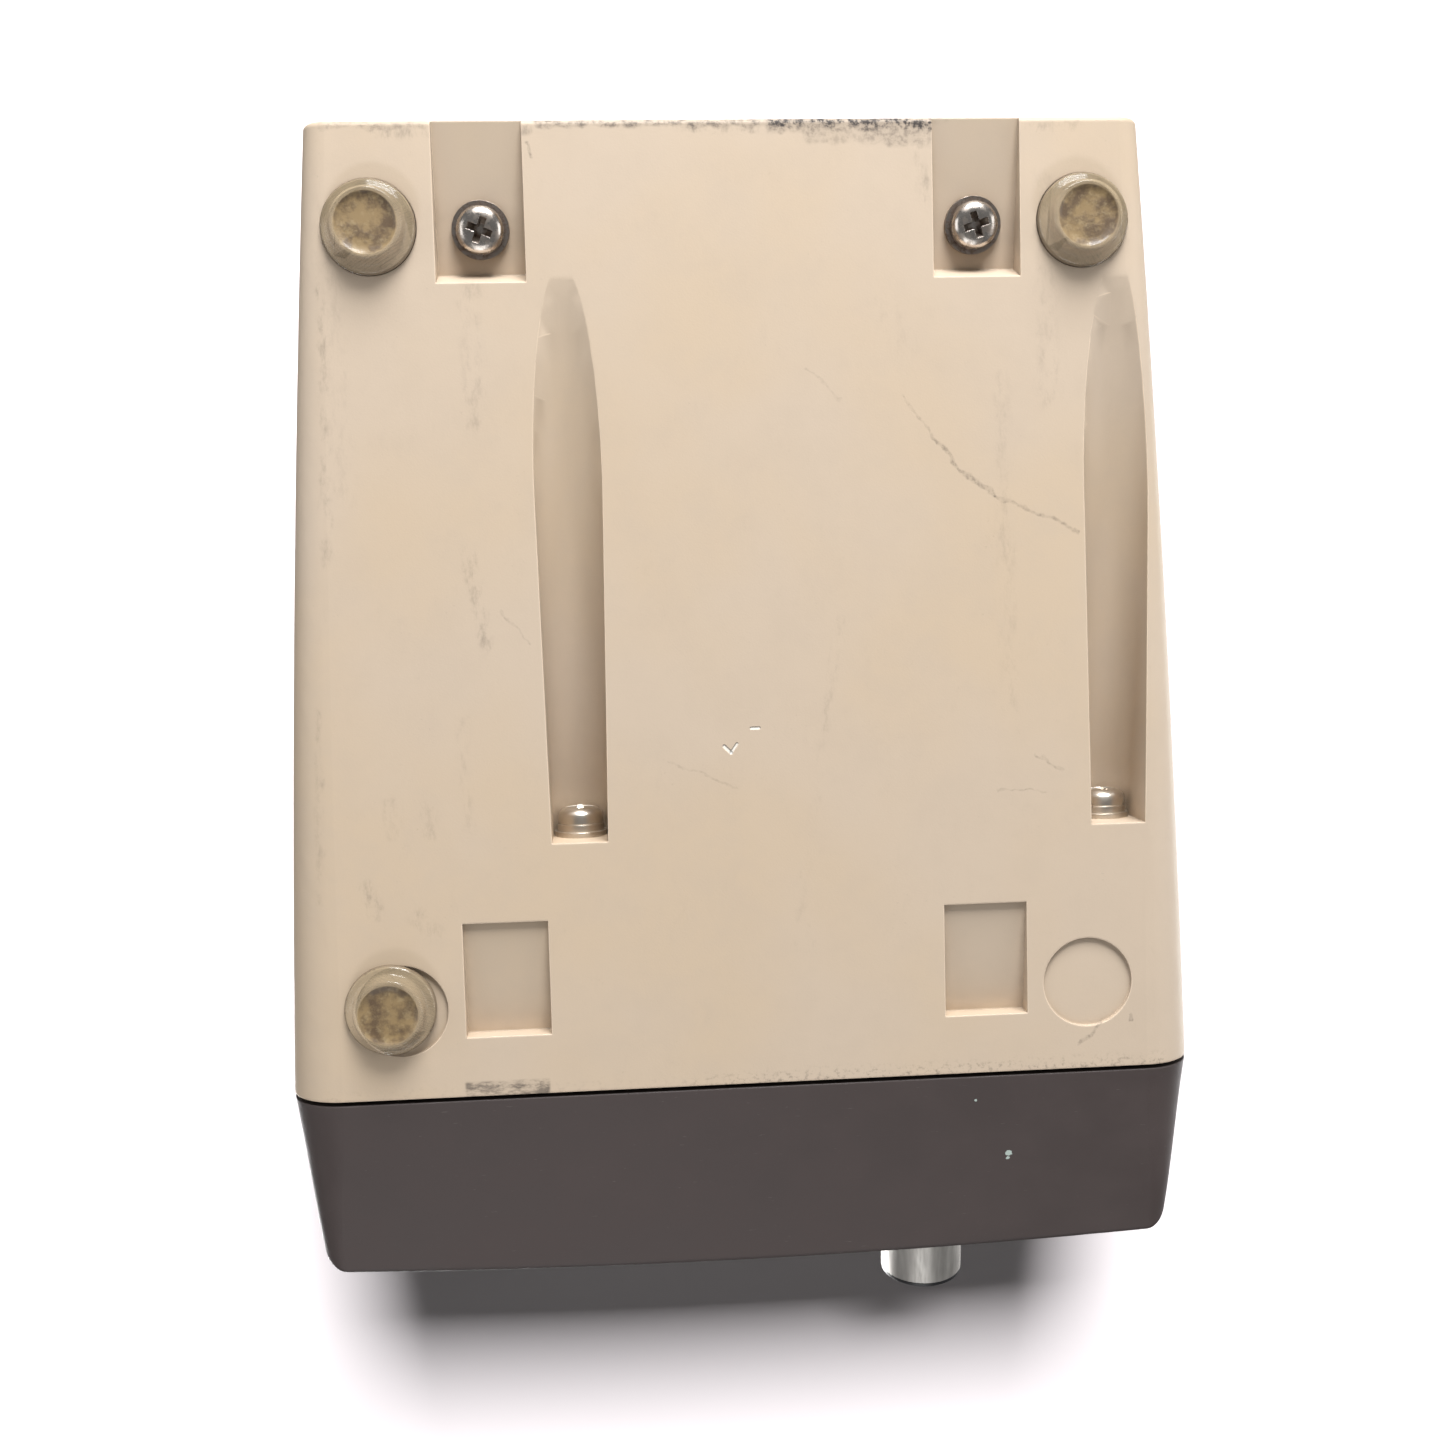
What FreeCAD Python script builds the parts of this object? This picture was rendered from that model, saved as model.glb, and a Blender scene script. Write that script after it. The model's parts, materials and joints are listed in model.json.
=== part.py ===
import FreeCAD, Part
import math
import os
import Sketcher
from FreeCAD import Placement, Rotation, Vector

# A benchtop control unit, in millimetres. Every piece is drawn in "case coordinates": X to the
# right seen from the front, Y towards the rear from the joint between housing and bezel, and Z up
# from the underside of the housing. seat() then moves each piece into the part's frame, whose
# origin is under the middle of the whole unit, on the plane that the rubber feet stand on.

os.makedirs("parts", exist_ok=True)
doc = FreeCAD.newDocument("control_unit")

# ---------------------------------------------------------------- driving dimensions

DIMENSIONS = [
    # moulded housing, a tub open at the front
    ("joint_width", 140.0), ("middle_width", 132.7), ("rear_width", 122.6),
    ("joint_height", 84.0), ("middle_height", 80.6), ("rear_height", 76.0),
    ("joint_corner", 8.5), ("middle_corner", 6.0), ("rear_corner", 3.5),
    ("housing_length", 143.2), ("housing_wall", 2.5), ("rear_edge_round", 0.8),
    ("inner_wall", 2.0),
    # rubber feet and their recesses
    ("foot_base", 13.6), ("foot_top", 10.0), ("foot_projection", 3.5), ("foot_shoulder", 1.1),
    ("foot_recess_depth", 0.6), ("foot_clearance", 0.1), ("foot_reach", 52.2),
    ("front_foot_place", 13.45), ("rear_foot_place", 128.15),
    ("slipped_sideways", 1.6), ("slipped_back", 0.4),
    # underside: rear recesses, front pockets and screwdriver channels
    ("fixing_reach", 36.4), ("recess_width", 13.0), ("recess_deep", 4.4),
    ("recess_front", 120.2), ("recess_wall_slope", 1.8), ("fixing_lean", 10.0),
    ("rear_screw_place", 128.3),
    ("pocket_width", 12.75), ("pocket_front", 9.0), ("pocket_rear", 26.3),
    ("pocket_deep", 3.2), ("pocket_shallow", 0.7),
    ("channel_right", 24.85), ("channel_left", 57.2), ("channel_end", 37.9),
    ("channel_tip", 122.0), ("channel_end_radius", 4.2), ("channel_tip_radius", 5.5),
    ("channel_depth", 8.5),
    # bezel
    ("joint_gap", 0.7), ("bezel_length", 29.8), ("bezel_draft", 8.3), ("panel_lean", 8.5),
    ("bow_radius", 1290.0), ("bezel_wall", 2.5), ("bezel_side_round", 2.4),
    ("bezel_front_corner", 3.2), ("bezel_edge_round", 0.8), ("flange_thickness", 3.0),
    ("opening_width", 118.0),
    ("opening_height", 61.0), ("opening_corner", 4.0), ("tongue_length", 3.0),
    ("tongue_wall", 1.6), ("tongue_clearance", 0.2), ("post_radius", 3.9), ("post_rib", 3.0),
    # front panel and what it carries
    ("panel_overlap", 2.0), ("panel_thickness", 2.0),
    ("knob_side", 32.1), ("knob_drop", 11.0), ("knob_diameter", 14.0), ("knob_reach", 20.0),
    ("knob_ring", 0.8), ("knob_tube_wall", 0.8), ("knob_lift", 0.6), ("knob_bore_depth", 13.0),
    ("shaft_radius", 3.0), ("running_clearance", 0.05), ("bushing_radius", 3.6),
    ("bushing_reach", 4.5), ("pot_radius", 8.0), ("pot_length", 9.0),
    ("rocker_side", 42.0), ("rocker_drop", 6.0), ("switch_width", 13.0),
    ("switch_height", 19.5), ("switch_length", 16.0), ("rocker_width", 10.0),
    ("rocker_height", 14.0), ("rocker_tilt", 8.0), ("rocker_clearance", 0.3),
    ("button_side", 4.0), ("button_radius", 4.5), ("button_clearance", 0.3),
    ("socket_side", 17.0), ("socket_radius", 8.0), ("socket_reach", 6.0),
    ("lamp_side", 42.0), ("lamp_rise", 17.0), ("lamp_radius", 2.6),
    ("window_side", 14.0), ("window_rise", 15.0), ("window_width", 44.0),
    ("window_height", 18.0), ("window_thickness", 1.4),
    ("control_board_width", 86.0), ("control_board_height", 54.0), ("board_thickness", 1.6),
    ("spacer_length", 11.0),
    # fasteners
    ("screw_radius", 2.0), ("screw_head_radius", 3.5), ("screw_head_height", 2.6),
    ("washer_thickness", 0.8), ("washer_radius", 4.2), ("small_washer_radius", 4.05),
    ("spring_washer_thickness", 1.1), ("spring_washer_radius", 3.6), ("screw_clearance", 0.25),
    ("thread_clearance", 0.05), ("rear_screw_length", 22.0), ("bezel_screw_length", 16.0),
    ("nut_across_flats", 7.0), ("nut_thickness", 3.2),
    ("small_screw_radius", 1.5), ("small_head_radius", 2.75), ("small_head_height", 2.0),
    ("small_screw_length", 6.0), ("taper_washer_width", 10.0), ("taper_washer_height", 2.2),
    # inner chassis, transformer and main board
    ("chassis_rise", 16.5), ("chassis_half_width", 56.0), ("chassis_front", 8.0),
    ("chassis_rear", 137.0), ("chassis_flange", 8.0), ("sheet_thickness", 1.2),
    ("boss_radius", 4.5), ("pillar_radius", 4.0), ("pin_radius", 1.5), ("pin_length", 2.6),
    ("core_width", 57.0), ("core_height", 47.5), ("core_stack", 22.0), ("core_leg", 9.5),
    ("core_side", 18.0), ("core_place", 104.0), ("coil_depth", 40.0), ("coil_gap", 0.3),
    ("bobbin_wall", 1.0), ("strap_thickness", 0.8), ("strap_width", 14.0), ("strap_foot", 7.0),
    ("board_left", 54.0), ("board_right", 14.0), ("board_front", 30.0), ("board_rear", 125.0),
    ("standoff_height", 6.0), ("standoff_radius", 2.6), ("board_margin", 4.0),
    # rear wall
    ("inlet_side", 28.0), ("inlet_rise", 48.0), ("inlet_width", 27.0), ("inlet_height", 19.6),
    ("inlet_flange_width", 49.0), ("inlet_flange_height", 23.0), ("inlet_flange_thickness", 2.0),
    ("inlet_length", 18.0), ("inlet_wall", 1.3), ("inlet_screw_reach", 20.0),
    ("vent_width", 2.5), ("vent_height", 24.0), ("vent_pitch", 6.0), ("vent_first", 12.0),
    ("vent_rise", 46.0),
]
VENT_COUNT = 7
DRAWING_CLEAR = 4.0     # how far a cutting tool runs past the face that it cuts

sheet = doc.addObject("Spreadsheet::Sheet", "sizes")
for row, (alias, number) in enumerate(DIMENSIONS, start=1):
    sheet.set("A%d" % row, alias)
    sheet.set("B%d" % row, str(number))
    sheet.setAlias("B%d" % row, alias)
doc.recompute()


class Size:
    """A length or angle together with the sheet expression that it comes from."""

    def __init__(self, number, text):
        self.number = number
        self.text = text

    @staticmethod
    def of(value):
        if isinstance(value, Size):
            return value
        return Size(float(value), "(%s)" % repr(float(value)))

    def combine(self, sign, other, number):
        return Size(number, "(%s %s %s)" % (self.text, sign, other.text))

    def __add__(self, other):
        other = Size.of(other)
        return self.combine("+", other, self.number + other.number)

    def __sub__(self, other):
        other = Size.of(other)
        return self.combine("-", other, self.number - other.number)

    def __mul__(self, other):
        other = Size.of(other)
        return self.combine("*", other, self.number * other.number)

    def __truediv__(self, other):
        other = Size.of(other)
        return self.combine("/", other, self.number / other.number)

    def __radd__(self, other):
        return Size.of(other) + self

    def __rsub__(self, other):
        return Size.of(other) - self

    def __rmul__(self, other):
        return Size.of(other) * self

    def __neg__(self):
        return Size.of(0.0) - self


def trig(name, angle):
    number = getattr(math, name)(math.radians(angle.number))
    return Size(number, "%s(%s * 1 deg)" % (name, angle.text))


class Sheet:
    """Every driving dimension as an attribute, bound to its cell."""


s = Sheet()
for alias, number in DIMENSIONS:
    setattr(s, alias, Size(sheet.get(alias), "sizes." + alias))

# ---------------------------------------------------------------- places worked out from them

draft = trig("tan", s.bezel_draft)
lean = trig("tan", s.panel_lean)
lean_sine = trig("sin", s.panel_lean)
lean_cosine = trig("cos", s.panel_lean)

front_edge_rise = s.bezel_length * draft
panel_rise = s.joint_height / 2 * (1 + lean * draft)
panel_place = (panel_rise - front_edge_rise) * lean - s.bezel_length
knob_radius = s.knob_diameter / 2

# The unit reaches from the lower rim of the knob's end to the heads of the inlet's screws.
front_reach = s.knob_reach * lean_cosine + knob_radius * lean_sine + s.knob_drop * lean_sine - panel_place
inlet_face = s.housing_length + s.inlet_flange_thickness
rear_reach = inlet_face + s.small_head_height
joint_place = (front_reach - rear_reach) / 2

# The rear recess floors ramp down towards the front, and their screws stand square to them. Each
# screw's line starts on the floor at its seat, and crosses the chassis and a taper washer.
ramp_fall = trig("tan", s.fixing_lean)
ramp_cosine = trig("cos", s.fixing_lean)
recess_floor_front = s.recess_front + s.recess_wall_slope
screw_seat_depth = s.recess_deep - (s.rear_screw_place - recess_floor_front) * ramp_fall
recess_rear_depth = s.recess_deep - (s.housing_length - recess_floor_front) * ramp_fall


def along_screw(rise):
    """Where a rear screw's line crosses the level rise: its place from the joint."""
    return s.rear_screw_place + (rise - screw_seat_depth) * ramp_fall


panel_face = s.flange_thickness
panel_back = s.flange_thickness + s.panel_thickness
chassis_top = s.chassis_rise + s.sheet_thickness
board_bottom = chassis_top + s.standoff_height
board_top = board_bottom + s.board_thickness
foot_radius = s.foot_base / 2
screw_hole = s.screw_radius + s.screw_clearance
thread_hole = s.screw_radius + s.thread_clearance

nodes = []
drawn_at = {}

# ---------------------------------------------------------------- drawing helpers


def bind(obj, **values):
    """Sets properties of obj and ties each to its sheet expression."""
    for name, value in values.items():
        value = Size.of(value)
        setattr(obj, name, value.number)
        obj.setExpression(name, value.text)
    return obj


def put(obj, x=0, y=0, z=0, turn=None):
    """Places obj at case coordinates, tied to the sheet. turn is (axis, degrees)."""
    place = [Size.of(x), Size.of(y), Size.of(z)]
    rotation = Rotation()
    if turn is not None:
        rotation = Rotation(turn[0], Size.of(turn[1]).number)
    obj.Placement = Placement(Vector(*[p.number for p in place]), rotation)
    for letter, value in zip("xyz", place):
        obj.setExpression(".Placement.Base." + letter, value.text)
    drawn_at[obj.Name] = place
    return obj


def box(label, low, size):
    obj = doc.addObject("Part::Box", label)
    bind(obj, Length=size[0], Width=size[1], Height=size[2])
    return put(obj, *low)


def cylinder(label, radius, length, start, along="Z"):
    """A cylinder from start along +X, +Y or +Z."""
    turns = {"X": (Vector(0, 1, 0), 90), "Y": (Vector(1, 0, 0), -90), "Z": None}
    obj = doc.addObject("Part::Cylinder", label)
    bind(obj, Radius=radius, Height=length)
    return put(obj, *start, turn=turns[along])


def fuse(label, shapes):
    obj = doc.addObject("Part::MultiFuse", label)
    obj.Shapes = shapes
    return obj


def cut(label, base, tools):
    obj = doc.addObject("Part::Cut", label)
    obj.Base = base
    obj.Tool = tools[0] if len(tools) == 1 else fuse(label + "_tools", tools)
    return obj


def common(label, first, second):
    obj = doc.addObject("Part::Common", label)
    obj.Base = first
    obj.Tool = second
    return obj


def fillet(label, base, rounds):
    """Rounds edges of base. rounds is a list of (radius at the front end, radius at the rear
    end, test of the two end points)."""
    doc.recompute()
    obj = doc.addObject("Part::Fillet", label)
    obj.Base = base
    chosen = []
    for number, edge in enumerate(base.Shape.Edges, start=1):
        ends = [edge.valueAt(edge.FirstParameter), edge.valueAt(edge.LastParameter)]
        for front_radius, rear_radius, test in rounds:
            if test(*ends):
                radii = [front_radius.number, rear_radius.number]
                if ends[0].y > ends[1].y:
                    radii.reverse()
                chosen.append((number, *radii))
                break
    obj.Edges = chosen
    return obj


def new_body(label):
    obj = doc.addObject("PartDesign::Body", label)
    obj.Label = label
    return obj


def new_sketch(name, body=None, plane="XZ_Plane", distance=0):
    """A sketch on an origin plane of body, or free-standing parallel to XZ at Y = distance."""
    distance = Size.of(distance)
    if body is None:
        sketch = doc.addObject("Sketcher::SketchObject", name)
        sketch.Placement = Placement(Vector(0, distance.number, 0), Rotation(Vector(1, 0, 0), 90))
        sketch.setExpression(".Placement.Base.y", distance.text)
        return sketch
    sketch = body.newObject("Sketcher::SketchObject", name)
    origin = [f for f in body.Origin.OriginFeatures if f.Role == plane][0]
    sketch.AttachmentSupport = [(origin, "")]
    sketch.MapMode = "FlatFace"
    sketch.AttachmentOffset = Placement(Vector(0, 0, distance.number), Rotation())
    sketch.setExpression(".AttachmentOffset.Base.z", distance.text)
    return sketch


def constrain(sketch, kind, *arguments):
    """Adds a constraint. A Size as the last argument becomes a bound datum."""
    if isinstance(arguments[-1], Size):
        value = arguments[-1]
        index = sketch.addConstraint(Sketcher.Constraint(kind, *arguments[:-1], value.number))
        sketch.setExpression("Constraints[%d]" % index, value.text)
        return
    sketch.addConstraint(Sketcher.Constraint(kind, *arguments))


def pin(sketch, edge, end, x=None, y=None):
    """Fixes one end of an edge (or a centre) at x, y from the sketch origin."""
    if x is not None:
        constrain(sketch, "DistanceX", -1, 1, edge, end, Size.of(x))
    if y is not None:
        constrain(sketch, "DistanceY", -1, 1, edge, end, Size.of(y))


def polygon(sketch, corners):
    corners = [(Size.of(x), Size.of(y)) for x, y in corners]
    first = sketch.GeometryCount
    count = len(corners)
    for index in range(count):
        (x0, y0), (x1, y1) = corners[index], corners[(index + 1) % count]
        ends = Vector(x0.number, y0.number, 0), Vector(x1.number, y1.number, 0)
        sketch.addGeometry(Part.LineSegment(*ends), False)
    for index in range(count):
        constrain(sketch, "Coincident", first + index, 2, first + (index + 1) % count, 1)
    for index, (x, y) in enumerate(corners):
        pin(sketch, first + index, 1, x, y)
    return sketch


def circle(sketch, x, y, radius):
    x, y, radius = Size.of(x), Size.of(y), Size.of(radius)
    centre = Vector(x.number, y.number, 0)
    edge = sketch.addGeometry(Part.Circle(centre, Vector(0, 0, 1), radius.number), False)
    constrain(sketch, "Radius", edge, radius)
    pin(sketch, edge, 3, x, y)
    return sketch


def rounded_rectangle(sketch, width, height, corner, low, middle=0):
    """A rectangle with four round corners, centred on X = middle, with its lower side at low."""
    width, height, corner = Size.of(width), Size.of(height), Size.of(corner)
    low, middle = Size.of(low), Size.of(middle)
    left, right = middle - width / 2, middle + width / 2
    high = low + height
    x0, x1, y0, y1, r = left.number, right.number, low.number, high.number, corner.number
    first = sketch.GeometryCount
    quarter = math.pi / 2
    sides = [
        ((x0 + r, y0), (x1 - r, y0), (x1 - r, y0 + r), 3),
        ((x1, y0 + r), (x1, y1 - r), (x1 - r, y1 - r), 0),
        ((x1 - r, y1), (x0 + r, y1), (x0 + r, y1 - r), 1),
        ((x0, y1 - r), (x0, y0 + r), (x0 + r, y0 + r), 2),
    ]
    for start, end, centre, turn in sides:
        sketch.addGeometry(Part.LineSegment(Vector(*start, 0), Vector(*end, 0)), False)
        arc = Part.Circle(Vector(*centre, 0), Vector(0, 0, 1), r)
        sketch.addGeometry(Part.ArcOfCircle(arc, turn * quarter, (turn + 1) * quarter), False)
    for index in range(4):
        line = first + 2 * index
        following = first + (2 * index + 2) % 8
        constrain(sketch, "Tangent", line, 2, line + 1, 1)
        constrain(sketch, "Tangent", line + 1, 2, following, 1)
        constrain(sketch, "Horizontal" if index % 2 == 0 else "Vertical", line)
    for index in (1, 2, 3):
        constrain(sketch, "Equal", first + 1, first + 1 + 2 * index)
    constrain(sketch, "Radius", first + 1, corner)
    pin(sketch, first, 1, y=low)
    pin(sketch, first + 4, 1, y=high)
    pin(sketch, first + 6, 1, x=left)
    pin(sketch, first + 2, 1, x=right)
    return sketch


def loft(label, sketches, ruled=True):
    obj = doc.addObject("Part::Loft", label)
    obj.Sections = sketches
    obj.Solid = True
    obj.Ruled = ruled
    return obj


def pad(body, sketch, length, backwards=False):
    obj = body.newObject("PartDesign::Pad", sketch.Name + "_pad")
    obj.Profile = sketch
    obj.Reversed = backwards
    bind(obj, Length=length)
    sketch.Visibility = False
    return obj


def pocket(body, sketch, depth, backwards=False):
    """Cuts depth deep, and fails when the cut takes nothing away."""
    doc.recompute()
    before = body.Shape.Volume
    obj = body.newObject("PartDesign::Pocket", sketch.Name + "_cut")
    obj.Profile = sketch
    obj.Reversed = backwards
    bind(obj, Length=depth)
    doc.recompute()
    if not body.Shape.Volume < before:
        raise RuntimeError("%s cuts nothing" % obj.Name)
    return obj


def revolve(body, sketch):
    """Turns a half section, drawn on XZ, about the Z axis."""
    obj = body.newObject("PartDesign::Revolution", sketch.Name + "_turned")
    obj.Profile = sketch
    obj.ReferenceAxis = (sketch, ["V_Axis"])
    obj.Angle = 360
    return obj


def turned(label, half_section):
    """A body of revolution about Z from a list of (radius, height) corners."""
    body = new_body(label)
    revolve(body, polygon(new_sketch(label + "_section", body), half_section))
    return body


def copies(label, source, places):
    """Separate identical solids in one node. Each place is a Placement."""
    doc.recompute()
    links = []
    for number, place in enumerate(places):
        link = doc.addObject("App::Link", "%s_%d" % (label, number))
        link.LinkedObject = source
        link.LinkTransform = False
        link.Placement = place.multiply(source.Placement)
        links.append(link)
    obj = doc.addObject("Part::Compound", label)
    obj.Links = links
    return obj


def at(x, y, z, turn=None):
    rotation = Rotation() if turn is None else Rotation(turn[0], turn[1])
    return Placement(Vector(Size.of(x).number, Size.of(y).number, Size.of(z).number), rotation)


POINT_FRONT = (Vector(1, 0, 0), 90)          # +Z of the drawing turned to -Y
POINT_REAR = (Vector(1, 0, 0), -90)          # +Z of the drawing turned to +Y
POINT_DOWN = (Vector(1, 0, 0), 180)


def seat(label, obj, on_panel=False):
    """Makes obj the node label and moves it from its drawing into the part's frame.

    Pieces on the panel are drawn in panel coordinates: origin in the middle of the bezel's
    front, X right, Y inwards and Z up along the leaning panel.
    """
    x, y, z = drawn_at.get(obj.Name, (Size.of(0), Size.of(0), Size.of(0)))
    rotation = obj.Placement.Rotation
    if on_panel:
        inwards = y * lean_cosine + z * lean_sine + panel_place
        upwards = z * lean_cosine - y * lean_sine + panel_rise
        y, z = inwards, upwards
        rotation = Rotation(Vector(1, 0, 0), -s.panel_lean.number).multiply(rotation)
    y = y + joint_place
    z = z + s.foot_projection
    obj.Placement = Placement(Vector(x.number, y.number, z.number), rotation)
    for letter, value in zip("xyz", (x, y, z)):
        obj.setExpression(".Placement.Base." + letter, value.text)
    obj.Label = label
    if obj.Label != label:
        raise RuntimeError("the name %s is taken" % label)
    nodes.append(obj)
    return obj

# ---------------------------------------------------------------- moulded housing

MIRRORED = (-1, 1)
far = s.joint_width * 2


def corner_inside(corner, inset):
    """The corner radius of an outline set in by inset, a little fuller than a parallel one."""
    return corner - inset * 0.6


def tub(label, inset, length, last):
    """The tapering tub, or its cavity when inset is the wall. last is the rear section's place."""
    stations = [
        (Size.of(0), s.joint_width, s.joint_height, s.joint_corner),
        (length / 2, s.middle_width, s.middle_height, s.middle_corner),
        (last, s.rear_width, s.rear_height, s.rear_corner),
    ]
    sections = []
    for number, (place, width, height, corner) in enumerate(stations):
        sketch = new_sketch("%s_section_%d" % (label, number), distance=place)
        rounded_rectangle(sketch, width - inset * 2, height - inset * 2,
                          corner_inside(corner, inset), inset)
        sections.append(sketch)
    return loft(label, sections, ruled=False)


tub_blank = tub("tub_outside", Size.of(0), s.housing_length, s.housing_length)


def on_rear_edge(start, end):
    limit = s.housing_length.number - 0.01
    return start.y > limit and end.y > limit


tub_outside = fillet("tub_rounded", tub_blank,
                     [(s.rear_edge_round, s.rear_edge_round, on_rear_edge)])
tub_cavity = tub("tub_cavity", s.housing_wall, s.housing_length, s.housing_length - s.housing_wall)

# A screwdriver channel rises in a straight line from the screw's level to the underside.
channel_slope = (s.channel_depth + s.channel_tip_radius) / (s.channel_tip - s.channel_end)
channel_widening = (s.channel_tip_radius - s.channel_end_radius) / (s.channel_tip - s.channel_end)


channel_angle = math.degrees(math.atan(channel_slope.number))
channel_cosine = math.cos(math.radians(channel_angle))
WALL_TUCK = 0.02        # the upright walls start just inside the cone's widest line


def channel(label, side, start, grow):
    """A scoop: an inclined cone under upright walls, wider towards the rear, cut square at start."""
    def level(place):
        return s.channel_depth - (place - s.channel_end) * channel_slope

    def radius(place):
        return s.channel_end_radius + (place - s.channel_end) * channel_widening + grow

    before_end = s.channel_end - DRAWING_CLEAR * 2
    past_tip = s.channel_tip + DRAWING_CLEAR * 2
    scoop = doc.addObject("Part::Cone", label + "_scoop")
    length = (past_tip - before_end) / channel_cosine
    bind(scoop, Radius1=radius(before_end), Radius2=radius(past_tip), Height=length)
    put(scoop, side, before_end, level(before_end),
        turn=(Vector(1, 0, 0), -90 - channel_angle))
    below = Size.of(-DRAWING_CLEAR)
    surfacing = s.channel_end + (s.channel_depth - below / 4) / channel_slope
    walls = []
    for number, place in enumerate((before_end, surfacing)):
        sketch = new_sketch("%s_walls_%d" % (label, number), distance=place)
        half = radius(place) - WALL_TUCK
        top = level(place)
        corners = [(side - half, below), (side + half, below), (side + half, top),
                   (side - half, top)]
        walls.append(polygon(sketch, corners))
    solid = fuse(label + "_solid", [scoop, loft(label + "_walls", walls)])
    kept = box(label + "_kept", (side - far / 2, start, -far / 2), (far, far, far))
    return common(label, solid, kept)


def side_profile(label, low, width, corners):
    """A solid from a (Y, Z) outline, padded over width from X = low."""
    body = new_body(label)
    pad(body, polygon(new_sketch(label + "_outline", body, "YZ_Plane", low), corners), width)
    return body


def leaning_cylinder(label, radius, middle, low, high):
    """A cylinder on the line of a rear screw, from where it crosses level low to level high."""
    low, high = Size.of(low), Size.of(high)
    obj = doc.addObject("Part::Cylinder", label)
    bind(obj, Radius=radius, Height=(high - low) / ramp_cosine)
    return put(obj, middle, along_screw(low), low, (Vector(1, 0, 0), -s.fixing_lean))


CHANNELS = [("right", s.channel_right), ("left", -s.channel_left)]
inner_bumps = []
housing_cuts = [tub_cavity]
underside_cuts = []

for name, side in CHANNELS:
    inner_start = s.channel_end - s.housing_wall
    inner_bumps.append(channel("channel_shell_" + name, side, inner_start, s.inner_wall))
    underside_cuts.append(channel("channel_" + name, side, s.channel_end, Size.of(0)))
    hole_start = (side, inner_start - DRAWING_CLEAR, s.channel_depth)
    hole_length = s.housing_wall + DRAWING_CLEAR * 2
    underside_cuts.append(cylinder("channel_hole_" + name, screw_hole, hole_length, hole_start, "Y"))

for mirror in MIRRORED:
    name = "right" if mirror > 0 else "left"
    middle = mirror * s.fixing_reach
    # rear recess, open to the rear, with a boss for the screw that holds the chassis
    half = s.recess_width / 2
    wall = s.inner_wall
    shell_rear = s.housing_length - s.housing_wall / 2
    inner_bumps.append(side_profile(
        "recess_shell_" + name, middle - half - wall, s.recess_width + wall * 2,
        [(s.recess_front - wall, s.housing_wall / 2), (shell_rear, s.housing_wall / 2),
         (shell_rear, recess_rear_depth + wall), (s.recess_front - wall, s.recess_deep + wall)]))
    above_chassis = chassis_top + DRAWING_CLEAR
    boss = leaning_cylinder("rear_boss_line_" + name, s.boss_radius, middle, 0, above_chassis)
    kept = box("rear_boss_kept_" + name, (middle - far / 2, 0, s.housing_wall),
               (far, far, s.chassis_rise - s.housing_wall))
    inner_bumps.append(common("rear_boss_" + name, boss, kept))
    beyond = s.housing_length + DRAWING_CLEAR
    underside_cuts.append(side_profile(
        "recess_" + name, middle - half, s.recess_width,
        [(s.recess_front, -DRAWING_CLEAR), (beyond, -DRAWING_CLEAR),
         (beyond, recess_rear_depth - DRAWING_CLEAR * ramp_fall),
         (recess_floor_front, s.recess_deep), (s.recess_front, 0)]))
    underside_cuts.append(
        leaning_cylinder("rear_hole_" + name, screw_hole, middle, 0, above_chassis))

    # front pocket with a ramped floor, and the pillar on it that the chassis rests on
    half = s.pocket_width / 2
    shell_low = (middle - half - s.inner_wall, s.pocket_front - s.inner_wall, s.housing_wall / 2)
    shell_size = (s.pocket_width + s.inner_wall * 2,
                  s.pocket_rear - s.pocket_front + s.inner_wall * 2,
                  s.pocket_deep + s.inner_wall - s.housing_wall / 2)
    inner_bumps.append(box("pocket_shell_" + name, shell_low, shell_size))
    pillar_place = (s.pocket_front + s.pocket_rear) / 2
    pillar_length = s.chassis_rise - s.pocket_deep
    pillar_start = (middle, pillar_place, s.pocket_deep)
    inner_bumps.append(cylinder("pillar_" + name, s.pillar_radius, pillar_length, pillar_start))
    pin_start = (middle, pillar_place, s.pocket_deep)
    pin_length = pillar_length + s.pin_length
    inner_bumps.append(cylinder("pillar_pin_" + name, s.pin_radius, pin_length, pin_start))
    underside_cuts.append(side_profile(
        "pocket_" + name, middle - half, s.pocket_width,
        [(s.pocket_front, -DRAWING_CLEAR), (s.pocket_rear, -DRAWING_CLEAR),
         (s.pocket_rear, s.pocket_shallow), (s.pocket_front, s.pocket_deep)]))

    for place, end in ((s.front_foot_place, "front"), (s.rear_foot_place, "rear")):
        start = (mirror * s.foot_reach, place, -DRAWING_CLEAR)
        depth = s.foot_recess_depth + DRAWING_CLEAR
        recess_radius = foot_radius + s.foot_clearance
        label = "foot_recess_%s_%s" % (end, name)
        underside_cuts.append(cylinder(label, recess_radius, depth, start))

# rear wall: mains inlet opening and ventilation slots beside it
rear_inside = s.housing_length - s.housing_wall - DRAWING_CLEAR
rear_depth = s.housing_wall + DRAWING_CLEAR * 2
inlet_low = (-s.inlet_side - s.inlet_width / 2, rear_inside, s.inlet_rise - s.inlet_height / 2)
underside_cuts.append(box("inlet_opening", inlet_low, (s.inlet_width, rear_depth, s.inlet_height)))
for mirror in MIRRORED:
    start = (mirror * s.inlet_screw_reach - s.inlet_side, rear_inside, s.inlet_rise)
    radius = s.small_screw_radius + s.screw_clearance
    underside_cuts.append(cylinder("inlet_screw_hole", radius, rear_depth, start, "Y"))
for slot in range(VENT_COUNT):
    low = (s.vent_first + slot * s.vent_pitch - s.vent_width / 2, rear_inside,
           s.vent_rise - s.vent_height / 2)
    underside_cuts.append(box("vent_slot", low, (s.vent_width, rear_depth, s.vent_height)))

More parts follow.
